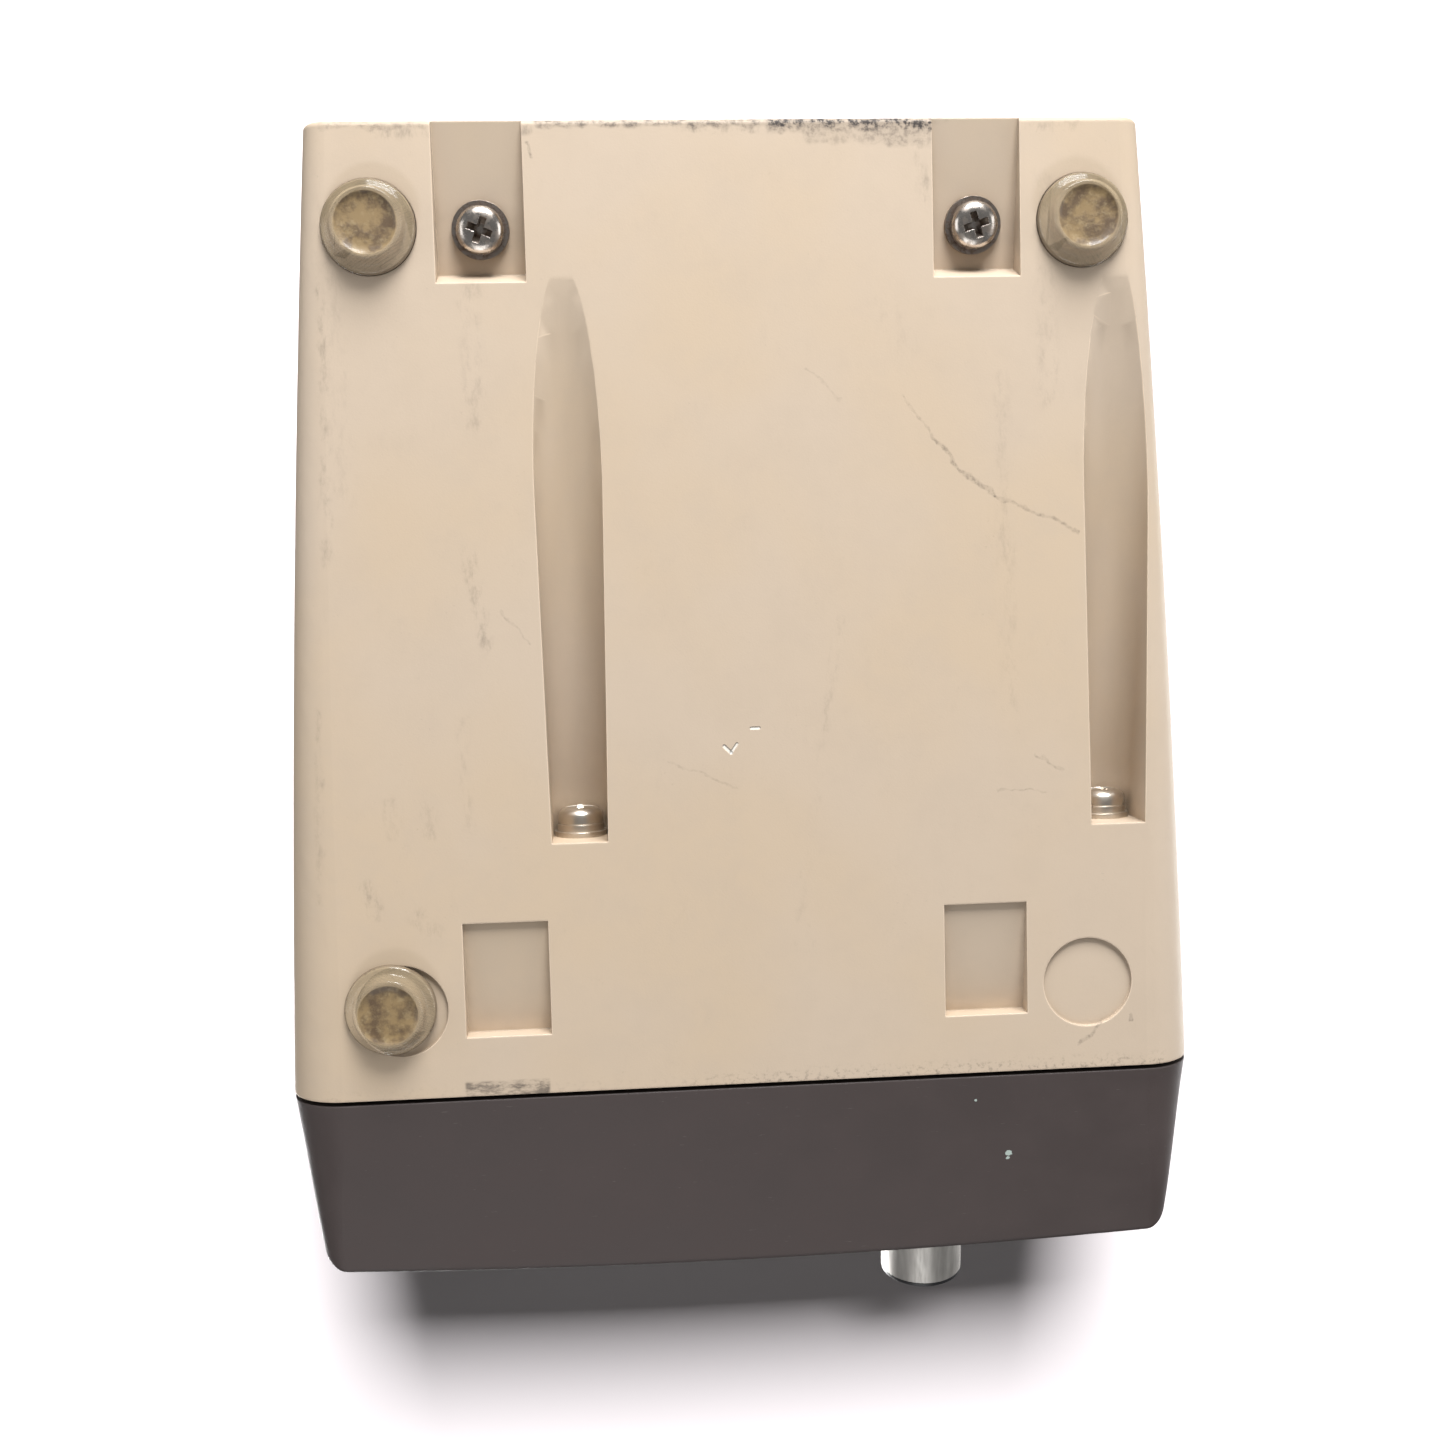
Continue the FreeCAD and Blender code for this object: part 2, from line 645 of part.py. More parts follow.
tub_shell = cut("tub_shell", tub_outside, housing_cuts)
bumps_inside = common("bumps_inside", fuse("inner_bumps", inner_bumps), tub_outside)
housing_blank = fuse("housing_blank", [tub_shell, bumps_inside])
housing = seat("housing", cut("housing_cut", housing_blank, underside_cuts))

# ---------------------------------------------------------------- front bezel


def drafted_block(label, inset, front, rear):
    """A block whose four sides follow the bezel's draft, set in by inset."""
    obj = doc.addObject("Part::Wedge", label)
    front_loss = -front * draft + inset
    rear_loss = -rear * draft + inset
    half = s.joint_width / 2
    bind(obj, Ymin=front, Ymax=rear,
         Xmin=front_loss - half, Xmax=half - front_loss,
         Zmin=front_loss, Zmax=s.joint_height - front_loss,
         X2min=rear_loss - half, X2max=half - rear_loss,
         Z2min=rear_loss, Z2max=s.joint_height - rear_loss)
    return obj


def ring_block(label, inset, front, rear):
    """A straight block with round corners inside the joint's outline."""
    sections = []
    for number, place in enumerate((front, rear)):
        sketch = new_sketch("%s_%d" % (label, number), distance=place)
        width, height = s.joint_width - inset * 2, s.joint_height - inset * 2
        corner = corner_inside(s.joint_corner, inset)
        sections.append(rounded_rectangle(sketch, width, height, corner, inset))
    return loft(label, sections)


def along_case(start, end):
    return abs(start.y - end.y) > 10 and abs(start.x - end.x) < 10


def front_upright(start, end):
    return abs(start.z - end.z) > 40 and max(start.y, end.y) < -5


def front_level(start, end):
    return abs(start.x - end.x) > 40 and max(start.y, end.y) < -5


reach_past = -s.bezel_length - DRAWING_CLEAR * 2
bezel_block = drafted_block("bezel_block", Size.of(0), reach_past, -s.joint_gap)

# The front is slightly bowed: a very large upright cylinder that leans back with the panel.
bow = doc.addObject("Part::Cylinder", "front_bow")
bind(bow, Radius=s.bow_radius, Height=far * 2)
leaning = Placement(Vector(0, -s.bezel_length.number, front_edge_rise.number),
                    Rotation(Vector(1, 0, 0), -s.panel_lean.number))
bow.Placement = leaning.multiply(at(0, s.bow_radius, -far))
bezel_front = common("bezel_front", bezel_block, bow)
bezel_outside = fillet("bezel_outside", bezel_front, [
    (s.bezel_front_corner, s.joint_corner, along_case),
    (s.bezel_side_round, s.bezel_side_round, front_upright),
    (s.bezel_edge_round, s.bezel_edge_round, front_level)])

panel_frame = Placement(Vector(0, panel_place.number, panel_rise.number),
                        Rotation(Vector(1, 0, 0), -s.panel_lean.number))
ring_depth = s.bezel_wall + s.joint_gap
cavity_block = drafted_block("bezel_cavity_block", s.bezel_wall, reach_past, -ring_depth)
cavity_corner = s.joint_corner - s.bezel_wall
cavity_rounded = fillet("bezel_cavity_rounded", cavity_block,
                        [(cavity_corner, cavity_corner, along_case)])
behind_flange = doc.addObject("Part::Box", "behind_flange")
bind(behind_flange, Length=far, Width=far, Height=far)
behind_flange.Placement = panel_frame.multiply(at(-far / 2, s.flange_thickness, -far / 2))
bezel_cavity = common("bezel_cavity", cavity_rounded, behind_flange)

tongue_outside = s.housing_wall + s.tongue_clearance
tongue_inside = tongue_outside + s.tongue_wall
rear_opening = ring_block("bezel_rear_opening", tongue_inside, -ring_depth - DRAWING_CLEAR / 4,
                          s.tongue_length + DRAWING_CLEAR)
tongue = ring_block("bezel_tongue", tongue_outside, -ring_depth, s.tongue_length)

opening_sketch = new_sketch("panel_opening")
rounded_rectangle(opening_sketch, s.opening_width, s.opening_height, s.opening_corner,
                  -s.opening_height / 2)
panel_opening = doc.addObject("Part::Extrusion", "panel_opening_cut")
panel_opening.Base = opening_sketch
panel_opening.DirMode = "Normal"
panel_opening.Solid = True
panel_opening.Symmetric = True
bind(panel_opening, LengthFwd=s.flange_thickness * 6)
panel_opening.Placement = panel_frame

posts = []
post_holes = []
post_start = panel_back - s.bezel_length + s.bezel_wall / 2
post_end = s.channel_end - s.housing_wall
for name, side in CHANNELS:
    start = (side, post_start, s.channel_depth)
    posts.append(cylinder("post_" + name, s.post_radius, post_end - post_start, start, "Y"))
    rib_low = (side - s.post_rib / 2, post_start, s.bezel_wall + s.joint_gap)
    rib_size = (s.post_rib, -s.joint_gap - post_start, s.channel_depth - s.bezel_wall)
    rib = box("post_rib_" + name, rib_low, rib_size)
    posts.append(common("post_rib_inside_" + name, rib, bezel_outside))
    hole_start = (side, post_end - s.bezel_screw_length, s.channel_depth)
    hole_length = s.bezel_screw_length + DRAWING_CLEAR
    hole_radius = s.screw_radius + s.thread_clearance
    post_holes.append(cylinder("post_hole_" + name, hole_radius, hole_length, hole_start, "Y"))

bezel_shell = cut("bezel_shell", bezel_outside, [bezel_cavity, panel_opening])
tongue_ring = cut("bezel_tongue_ring", fuse("bezel_with_tongue", [bezel_shell, tongue]),
                  [rear_opening])
bezel_with_posts = fuse("bezel_with_posts", [tongue_ring] + posts)
seat("front_bezel", cut("bezel_cut", bezel_with_posts, post_holes))

# ---------------------------------------------------------------- feet

contact_round = s.foot_shoulder / 3
foot_section = [
    (0, -s.foot_projection), (s.foot_top / 2 - contact_round, -s.foot_projection),
    (s.foot_top / 2, contact_round - s.foot_projection), (foot_radius, -s.foot_shoulder),
    (foot_radius, s.foot_recess_depth), (0, s.foot_recess_depth),
]


def foot(label, x, y):
    body = turned(label + "_rubber", foot_section)
    return put(body, x, y, 0)


seat("foot_rear_right", foot("foot_rear_right", s.foot_reach, s.rear_foot_place))
seat("foot_rear_left", foot("foot_rear_left", -s.foot_reach, s.rear_foot_place))
# This foot has slipped half out of its recess, and its rubber fills only what is left of it.
slipped = foot("slipped_foot", s.foot_reach + s.slipped_sideways,
               s.front_foot_place + s.slipped_back)
slipped_level = box("slipped_foot_face", (0, 0, 0), (far, far, DRAWING_CLEAR))
slipped_recess = cylinder("slipped_foot_recess", foot_radius + s.foot_clearance,
                          DRAWING_CLEAR * 2, (s.foot_reach, s.front_foot_place, -DRAWING_CLEAR))
slipped_level_cut = cut("slipped_foot_waste", slipped_level, [slipped_recess])
seat("foot_front_right", cut("slipped_foot_cut", slipped, [slipped_level_cut]))

# ---------------------------------------------------------------- fasteners


def cross_recess(body, name, head_radius, top, depth):
    """A cross-shaped driver recess sunk into the head from height top."""
    arm = head_radius * 0.58
    web = head_radius * 0.14
    corners = [(-arm, -web), (-web, -web), (-web, -arm), (web, -arm), (web, -web), (arm, -web),
               (arm, web), (web, web), (web, arm), (-web, arm), (-web, web), (-arm, web)]
    sketch = polygon(new_sketch(name, body, "XY_Plane", top), corners)
    pocket(body, sketch, depth)


def pan_head_screw(label, radius, head_radius, head_height, length):
    """Drawn point down: the head stands on Z = 0 and the shank hangs below it."""
    shoulder = head_height * 0.42
    body = turned(label, [
        (0, -length), (radius * 0.7, -length), (radius, radius * 0.3 - length), (radius, 0),
        (head_radius, 0), (head_radius, shoulder), (head_radius * 0.86, head_height * 0.78),
        (head_radius * 0.55, head_height * 0.97), (0, head_height)])
    cross_recess(body, label + "_recess", head_radius, head_height, head_height * 0.6)
    return body


def washer(label, outer, inner, thickness):
    return cut(label, cylinder(label + "_disc", outer, thickness, (0, 0, 0)),
               [cylinder(label + "_hole", inner, thickness + DRAWING_CLEAR,
                         (0, 0, -DRAWING_CLEAR / 2))])


def hexagon(sketch, across_flats):
    """A regular hexagon about the sketch origin with two flats level."""
    half = across_flats / 2
    side = half / math.sqrt(3)
    corners = [(side, -half), (side * 2, 0), (side, half), (-side, half), (-side * 2, 0),
               (-side, -half)]
    return polygon(sketch, corners)


def nut(label, across_flats, bore, thickness):
    body = new_body(label)
    pad(body, hexagon(new_sketch(label + "_flats", body, "XY_Plane"), across_flats), thickness)
    pocket(body, circle(new_sketch(label + "_bore", body, "XY_Plane"), 0, 0, bore),
           thickness, backwards=True)
    return body


rear_screw = pan_head_screw("rear_screw", s.screw_radius, s.screw_head_radius,
                            s.screw_head_height, s.rear_screw_length)
bezel_screw = pan_head_screw("bezel_screw", s.screw_radius, s.screw_head_radius,
                             s.screw_head_height, s.bezel_screw_length)
small_screw = pan_head_screw("small_screw", s.small_screw_radius, s.small_head_radius,
                             s.small_head_height, s.small_screw_length)

# The rear screws lean with their recess floors. A taper washer gives each nut a square seat.
LEAN_DOWN = (Vector(1, 0, 0), 180 - s.fixing_lean.number)
LEAN_UP = (Vector(1, 0, 0), -s.fixing_lean.number)
rear_places = [mirror * s.fixing_reach for mirror in MIRRORED]
head_seat = screw_seat_depth - s.washer_thickness * ramp_cosine
seat("rear_screws", copies("rear_screws", rear_screw, [
    at(x, along_screw(head_seat), head_seat, LEAN_DOWN) for x in rear_places]))
rear_washer = washer("rear_washer", s.washer_radius, screw_hole, s.washer_thickness)
seat("rear_washers", copies("rear_washers", rear_washer, [
    at(x, s.rear_screw_place, screw_seat_depth, LEAN_DOWN) for x in rear_places]))
nut_seat = chassis_top + s.taper_washer_height
chassis_nut = nut("chassis_nut", s.nut_across_flats, thread_hole, s.nut_thickness)
seat("chassis_nuts", copies("chassis_nuts", chassis_nut, [
    at(x, along_screw(nut_seat), nut_seat, LEAN_UP) for x in rear_places]))

taper_half = s.taper_washer_width / 2
taper_front = along_screw(chassis_top) - taper_half
taper_rear = along_screw(chassis_top) + taper_half
taper_block = side_profile("taper_block", -taper_half, s.taper_washer_width, [
    (taper_front, chassis_top), (taper_rear, chassis_top),
    (taper_rear, nut_seat - (taper_rear - along_screw(nut_seat)) * ramp_fall),
    (taper_front, nut_seat + (along_screw(nut_seat) - taper_front) * ramp_fall)])
taper_bore = leaning_cylinder("taper_bore", screw_hole, 0, s.chassis_rise, nut_seat + DRAWING_CLEAR)
taper_washer = cut("taper_washer", taper_block, [taper_bore])
seat("taper_washers", copies("taper_washers", taper_washer, [at(x, 0, 0) for x in rear_places]))

channel_places = [side for name, side in CHANNELS]
flat_seat = s.channel_end
spring_seat = flat_seat + s.washer_thickness
screw_seat = spring_seat + s.spring_washer_thickness
flat_washer = washer("flat_washer", s.small_washer_radius, screw_hole, s.washer_thickness)
seat("bezel_flat_washers", copies("bezel_flat_washers", flat_washer, [
    at(x, flat_seat, s.channel_depth, POINT_REAR) for x in channel_places]))
spring_ring = washer("spring_ring", s.spring_washer_radius, screw_hole, s.spring_washer_thickness)
ring_split = box("spring_split", (screw_hole / 2, -s.spring_washer_thickness / 4, -DRAWING_CLEAR / 2),
                 (s.spring_washer_radius, s.spring_washer_thickness / 2,
                  s.spring_washer_thickness + DRAWING_CLEAR))
spring_washer = cut("spring_washer", spring_ring, [ring_split])
seat("bezel_spring_washers", copies("bezel_spring_washers", spring_washer, [
    at(x, spring_seat, s.channel_depth, POINT_REAR) for x in channel_places]))
seat("bezel_screws", copies("bezel_screws", bezel_screw, [
    at(x, screw_seat, s.channel_depth, POINT_REAR) for x in channel_places]))

# ---------------------------------------------------------------- front panel

panel_width = s.opening_width + s.panel_overlap * 2
panel_height = s.opening_height + s.panel_overlap * 2
knob_side = -s.knob_side
knob_level = -s.knob_drop
button_side = -s.button_side
window_side = -s.window_side

panel = new_body("panel")
panel_outline = new_sketch("panel_outline", panel, "XZ_Plane", -panel_face)
rounded_rectangle(panel_outline, panel_width, panel_height, s.opening_corner, -panel_height / 2)
pad(panel, panel_outline, s.panel_thickness, backwards=True)


def panel_hole(name, draw):
    """Cuts an outline right through the panel."""
    sketch = new_sketch(name, panel, "XZ_Plane", -panel_face)
    draw(sketch)
    pocket(panel, sketch, s.panel_thickness)


def rectangle(sketch, width, height, x, y):
    half_width, half_height = width / 2, height / 2
    return polygon(sketch, [
        (x - half_width, y - half_height), (x + half_width, y - half_height),
        (x + half_width, y + half_height), (x - half_width, y + half_height)])


collar_radius = s.button_radius + s.button_clearance + 1.0
lamp_body_radius = s.lamp_radius + 0.8
socket_body_radius = s.socket_radius - 0.6
panel_hole("bushing_hole", lambda k: circle(k, knob_side, knob_level, s.bushing_radius))
panel_hole("button_hole", lambda k: circle(k, button_side, knob_level, collar_radius))
panel_hole("socket_hole", lambda k: circle(k, s.socket_side, knob_level, socket_body_radius))
panel_hole("lamp_hole", lambda k: circle(k, s.lamp_side, s.lamp_rise, lamp_body_radius))
panel_hole("switch_hole", lambda k: rectangle(
    k, s.switch_width, s.switch_height, s.rocker_side, -s.rocker_drop))
panel_hole("window_hole", lambda k: rectangle(
    k, s.window_width, s.window_height, window_side, s.window_rise))
seat("front_panel", panel, on_panel=True)

window = box("window", (window_side - s.window_width / 2, panel_face,
                        s.window_rise - s.window_height / 2),
             (s.window_width, s.window_thickness, s.window_height))
seat("display_window", window, on_panel=True)

board_face = panel_back + s.spacer_length
control_board_left = -s.control_board_width / 2 - s.window_side
module_margin = Size.of(2.0)
module_depth = board_face - panel_face - s.window_thickness
module = box("module", (window_side - s.window_width / 2 + module_margin,
                        panel_face + s.window_thickness,
                        s.window_rise - s.window_height / 2 + module_margin),
             (s.window_width - module_margin * 2, module_depth,
              s.window_height - module_margin * 2))
seat("display_module", module, on_panel=True)

control_board = box("control_board_plate",
                    (control_board_left, board_face, -s.control_board_height / 2 + 1),
                    (s.control_board_width, s.board_thickness, s.control_board_height))
control_board_cut = cut("control_board_cut", control_board, [
    cylinder("board_pot_hole", s.shaft_radius + 1, s.board_thickness + DRAWING_CLEAR,
             (knob_side, board_face - DRAWING_CLEAR / 2, knob_level), "Y"),
    cylinder("board_socket_hole", s.socket_radius, s.board_thickness + DRAWING_CLEAR,
             (s.socket_side, board_face - DRAWING_CLEAR / 2, knob_level), "Y")])
seat("control_board", control_board_cut, on_panel=True)

spacer = washer("spacer", s.standoff_radius, s.small_screw_radius + s.thread_clearance,
                s.spacer_length)
spacer_inset = s.board_margin
spacer_places = []
for x in (control_board_left + spacer_inset,
          control_board_left + s.control_board_width - spacer_inset):
    for z in (-s.control_board_height / 2 + 1 + spacer_inset,
              s.control_board_height / 2 + 1 - spacer_inset):
        spacer_places.append((x, z))
seat("board_spacers", copies("board_spacers", spacer, [
    at(x, panel_back, z, POINT_REAR) for x, z in spacer_places]), on_panel=True)

# ---------------------------------------------------------------- knob and potentiometer

knob_tube_bore = knob_radius - s.knob_tube_wall
sleeve_length = s.knob_reach - s.knob_ring + panel_face - s.knob_lift
ring_back = s.knob_ring - s.knob_reach
sleeve = washer("sleeve", knob_radius, knob_tube_bore, sleeve_length)
sleeve_node = copies("knob_sleeve", sleeve, [at(knob_side, ring_back, knob_level, POINT_REAR)])
seat("knob_sleeve", sleeve_node, on_panel=True)

# Core drawn from its end face at Z = 0 upwards, in one turned section with the shaft's bore.
core_radius = knob_tube_bore
bore_start = s.knob_ring + 2.0
core_length = bore_start + s.knob_bore_depth
core_bore = s.shaft_radius
knob_core = turned("core", [
    (0, 0), (knob_radius - s.knob_ring / 3, 0), (knob_radius, s.knob_ring / 3),
    (knob_radius, s.knob_ring), (core_radius, s.knob_ring), (core_radius, core_length),
    (core_bore, core_length), (core_bore, bore_start), (0, bore_start)])
seat("knob_core", copies("knob_core", knob_core, [
    at(knob_side, -s.knob_reach, knob_level, POINT_REAR)]), on_panel=True)

shaft_start = bore_start - s.knob_reach
shaft_end = panel_back + s.pot_length - 1.5
seat("pot_shaft", copies("pot_shaft", turned("shaft", [
    (0, 0), (s.shaft_radius, 0), (s.shaft_radius, shaft_end - shaft_start),
    (0, shaft_end - shaft_start)]), [
    at(knob_side, shaft_start, knob_level, POINT_REAR)]), on_panel=True)

shaft_bore = s.shaft_radius + s.running_clearance
bushing_start = panel_face - s.bushing_reach
pot_bushing_length = panel_back - bushing_start
pot = turned("pot", [
    (shaft_bore, 0), (s.bushing_radius, 0), (s.bushing_radius, pot_bushing_length),
    (s.pot_radius, pot_bushing_length), (s.pot_radius, pot_bushing_length + s.pot_length),
    (0, pot_bushing_length + s.pot_length), (0, pot_bushing_length + s.pot_length - 1.0),
    (shaft_bore, pot_bushing_length + s.pot_length - 1.0)])
seat("potentiometer", copies("potentiometer", pot, [
    at(knob_side, bushing_start, knob_level, POINT_REAR)]), on_panel=True)
pot_nut = nut("pot_nut_flats", Size.of(10.0), s.bushing_radius, Size.of(2.0))
seat("pot_nut", copies("pot_nut", pot_nut, [
    at(knob_side, panel_face - 2.0, knob_level, POINT_REAR)]), on_panel=True)

# ---------------------------------------------------------------- power switch

rocker_pivot = panel_face + 3.0
rocker_room_width = s.rocker_width + s.rocker_clearance * 2
rocker_room_height = s.rocker_height + 2.4
flange_width = s.switch_width + 2.0
flange_height = s.switch_height + 2.0
flange_proud = Size.of(1.5)
rocker_level = -s.rocker_drop
switch_parts = [
    box("switch_flange", (s.rocker_side - flange_width / 2, panel_face - flange_proud,
                          rocker_level - flange_height / 2),
        (flange_width, flange_proud, flange_height)),
    box("switch_barrel", (s.rocker_side - s.switch_width / 2, panel_face,
                        rocker_level - s.switch_height / 2),
        (s.switch_width, s.switch_length, s.switch_height)),
]
room_depth = s.switch_length - 3.0 + flange_proud
trunnion_radius = Size.of(1.0)
trunnion_reach = s.rocker_width / 2 + s.rocker_clearance + 0.6
switch_cuts = [
    box("switch_room", (s.rocker_side - rocker_room_width / 2,
                        panel_face - flange_proud - DRAWING_CLEAR,
                        rocker_level - rocker_room_height / 2),
        (rocker_room_width, room_depth + DRAWING_CLEAR, rocker_room_height)),
    cylinder("trunnion_hole", trunnion_radius + s.running_clearance, trunnion_reach * 2 + 0.4,
             (s.rocker_side - trunnion_reach - 0.2, rocker_pivot, rocker_level), "X"),
]
seat("switch_case", cut("switch_cut", fuse("switch_solid", switch_parts), switch_cuts),
     on_panel=True)

rocker_body = new_body("rocker_solid")
rocker_sketch = new_sketch("rocker_profile", rocker_body, "YZ_Plane", -s.rocker_width / 2)
rocker_tip = s.rocker_height / 2
polygon(rocker_sketch, [
    (-6.3, rocker_tip), (-5.0, 0), (-6.3, -rocker_tip), (-2.0, -rocker_tip),
    (4.0, -rocker_tip / 3), (4.0, rocker_tip / 3), (-2.0, rocker_tip)])
pad(rocker_body, rocker_sketch, s.rocker_width)
trunnion = new_sketch("trunnion_profile", rocker_body, "YZ_Plane", -trunnion_reach)
pad(rocker_body, circle(trunnion, 0, 0, trunnion_radius), trunnion_reach * 2)
# At rest the rocker is in its off position, tipped about its trunnions.
rocker_node = copies("power_rocker", rocker_body, [
    at(s.rocker_side, rocker_pivot, rocker_level, (Vector(1, 0, 0), -s.rocker_tilt.number))])
seat("power_rocker", rocker_node, on_panel=True)
terminal = box("terminal", (-2.4, 0, -0.4), (4.8, 7.0, 0.8))
seat("switch_terminals", copies("switch_terminals", terminal, [
    at(s.rocker_side, panel_face + s.switch_length, rocker_level + z) for z in (-5.5, 0.0, 5.5)]),
    on_panel=True)

# ---------------------------------------------------------------- push button, socket and lamp

collar_length = Size.of(12.0)
collar_bore = s.button_radius + s.button_clearance
collar = turned("collar", [
    (collar_bore, 0), (collar_radius + 1.2, 0), (collar_radius + 1.2, 1.2),
    (collar_radius, 1.2), (collar_radius, collar_length), (0, collar_length),
    (0, collar_length - 1.2), (collar_bore, collar_length - 1.2)])
seat("button_collar", copies("button_collar", collar, [
    at(button_side, panel_face - 1.2, knob_level, POINT_REAR)]), on_panel=True)
cap = turned("cap", [
    (0, 0), (s.button_radius - 0.5, 0), (s.button_radius, 0.5), (s.button_radius, 6.0),
    (0, 6.0)])
seat("start_button", copies("start_button", cap, [
    at(button_side, panel_face - 3.4, knob_level, POINT_REAR)]), on_panel=True)

shell_proud = s.socket_reach
insert_radius = s.socket_radius - 1.8
shell_length = Size.of(15.0)
socket_shell = turned("shell", [
    (insert_radius, 0), (socket_body_radius, 0), (socket_body_radius, shell_proud - 1.6),
    (s.socket_radius + 1.6, shell_proud - 1.6), (s.socket_radius + 1.6, shell_proud),
    (socket_body_radius, shell_proud), (socket_body_radius, shell_length),
    (insert_radius, shell_length)])
socket_place = [at(s.socket_side, panel_face - shell_proud, knob_level, POINT_REAR)]
seat("socket_shell", copies("socket_shell", socket_shell, socket_place), on_panel=True)
contact_radius = Size.of(0.9)
contact_circle = insert_radius * 0.52
insert_body = new_body("insert")
insert_sketch = circle(new_sketch("insert_disc", insert_body, "XY_Plane", 1.2), 0, 0, insert_radius)
pad(insert_body, insert_sketch, shell_length - 1.2)
contact_places = [(contact_circle, contact_circle), (-contact_circle, contact_circle),
                  (contact_circle, -contact_circle), (-contact_circle, -contact_circle)]
holes = new_sketch("insert_holes", insert_body, "XY_Plane", 1.2)
for x, z in contact_places:
    circle(holes, x, z, contact_radius)
pocket(insert_body, holes, shell_length - 1.2, backwards=True)
seat("socket_insert", copies("socket_insert", insert_body, socket_place), on_panel=True)
contact = washer("contact", contact_radius, contact_radius * 0.6, shell_length)
seat("socket_contacts", copies("socket_contacts", contact, [
    at(s.socket_side + x, panel_face - shell_proud + 1.6, knob_level + z, POINT_REAR)
    for x, z in contact_places]), on_panel=True)
socket_nut = nut("socket_nut_flats", Size.of(19.0), socket_body_radius, Size.of(2.2))
seat("socket_nut", copies("socket_nut", socket_nut, [
    at(s.socket_side, panel_back, knob_level, POINT_REAR)]), on_panel=True)

lamp_holder = turned("lamp_holder_solid", [
    (s.lamp_radius, 0), (lamp_body_radius + 0.8, 0), (lamp_body_radius + 0.8, 1.0),
    (lamp_body_radius, 1.0), (lamp_body_radius, 9.0), (s.lamp_radius, 9.0)])
lamp_place = [at(s.lamp_side, panel_face - 1.0, s.lamp_rise, POINT_REAR)]
seat("lamp_holder", copies("lamp_holder", lamp_holder, lamp_place), on_panel=True)
lamp = turned("lamp_solid", [
    (0, -1.6), (s.lamp_radius * 0.6, -1.2), (s.lamp_radius, 0), (s.lamp_radius, 8.0), (0, 8.0)])
seat("pilot_lamp", copies("pilot_lamp", lamp, lamp_place), on_panel=True)

# ---------------------------------------------------------------- chassis

chassis = new_body("chassis_sheet")
chassis_profile = new_sketch("chassis_profile", chassis, "XZ_Plane", -s.chassis_front)
half, gauge = s.chassis_half_width, s.sheet_thickness
top = s.chassis_rise + s.chassis_flange
polygon(chassis_profile, [
    (-half, s.chassis_rise), (half, s.chassis_rise), (half, top), (half - gauge, top),
    (half - gauge, chassis_top), (gauge - half, chassis_top), (gauge - half, top), (-half, top)])
pad(chassis, chassis_profile, s.chassis_rear - s.chassis_front, backwards=True)
chassis_holes = new_sketch("chassis_holes", chassis, "XY_Plane", s.chassis_rise)
pillar_place = (s.pocket_front + s.pocket_rear) / 2
standoff_places = [(x, y) for x in (-s.board_left + s.board_margin, -s.board_right - s.board_margin)
                   for y in (s.board_front + s.board_margin, s.board_rear - s.board_margin)]
strap_foot_reach = s.core_width / 2 + s.strap_thickness + s.strap_foot / 2
strap_places = [(s.core_side + mirror * strap_foot_reach, s.core_place) for mirror in MIRRORED]
small_thread = s.small_screw_radius + s.thread_clearance
for mirror in MIRRORED:
    circle(chassis_holes, mirror * s.fixing_reach, along_screw(s.chassis_rise + gauge / 2),
           screw_hole + gauge * ramp_fall)
    circle(chassis_holes, mirror * s.fixing_reach, pillar_place, s.pin_radius + 0.15)
for x, y in standoff_places + strap_places:
    circle(chassis_holes, x, y, small_thread)
pocket(chassis, chassis_holes, gauge, backwards=True)
seat("chassis", chassis)

# ---------------------------------------------------------------- transformer

core_low = chassis_top
leg = s.core_leg
window_width = leg
window_tall = s.core_height - leg * 2
core_block = box("core_block", (s.core_side - s.core_width / 2, s.core_place - s.core_stack / 2,
                                core_low), (s.core_width, s.core_stack, s.core_height))
core_windows = []
for low in (s.core_side - leg - window_width, s.core_side + leg):
    core_windows.append(box("core_window", (low, s.core_place - s.core_stack, core_low + leg),
                            (window_width, s.core_stack * 2, window_tall)))
seat("transformer_core", cut("core_cut", core_block, core_windows))

leg_clear = s.coil_gap
tube_width = leg * 2 + leg_clear * 2
tube_depth = s.core_stack + leg_clear * 2
wall = s.bobbin_wall
coil_width = (leg + window_width) * 2 - leg_clear * 2
coil_low = core_low + leg + leg_clear
coil_height = window_tall - leg_clear * 2


def centred_box(label, width, depth, low, height):
    return box(label, (s.core_side - width / 2, s.core_place - depth / 2, low),
               (width, depth, height))


tube_hole = centred_box("bobbin_hole", tube_width, tube_depth, coil_low - 1, coil_height + 2)
bobbin_solid = fuse("bobbin_solid", [
    centred_box("bobbin_tube", tube_width + wall * 2, tube_depth + wall * 2, coil_low, coil_height),
    centred_box("bobbin_base", coil_width, s.coil_depth, coil_low, wall),
    centred_box("bobbin_top", coil_width, s.coil_depth, coil_low + coil_height - wall, wall)])
seat("transformer_bobbin", cut("bobbin_cut", bobbin_solid, [tube_hole]))
wound_low = coil_low + wall
wound_height = coil_height - wall * 2
wound_block = centred_box("wound_block", coil_width - wall, s.coil_depth - wall * 2, wound_low,
                          wound_height)
wound_hole = centred_box("wound_hole", tube_width + wall * 2, tube_depth + wall * 2,
                         wound_low - 1, wound_height + 2)
seat("transformer_windings", cut("windings_cut", wound_block, [wound_hole]))

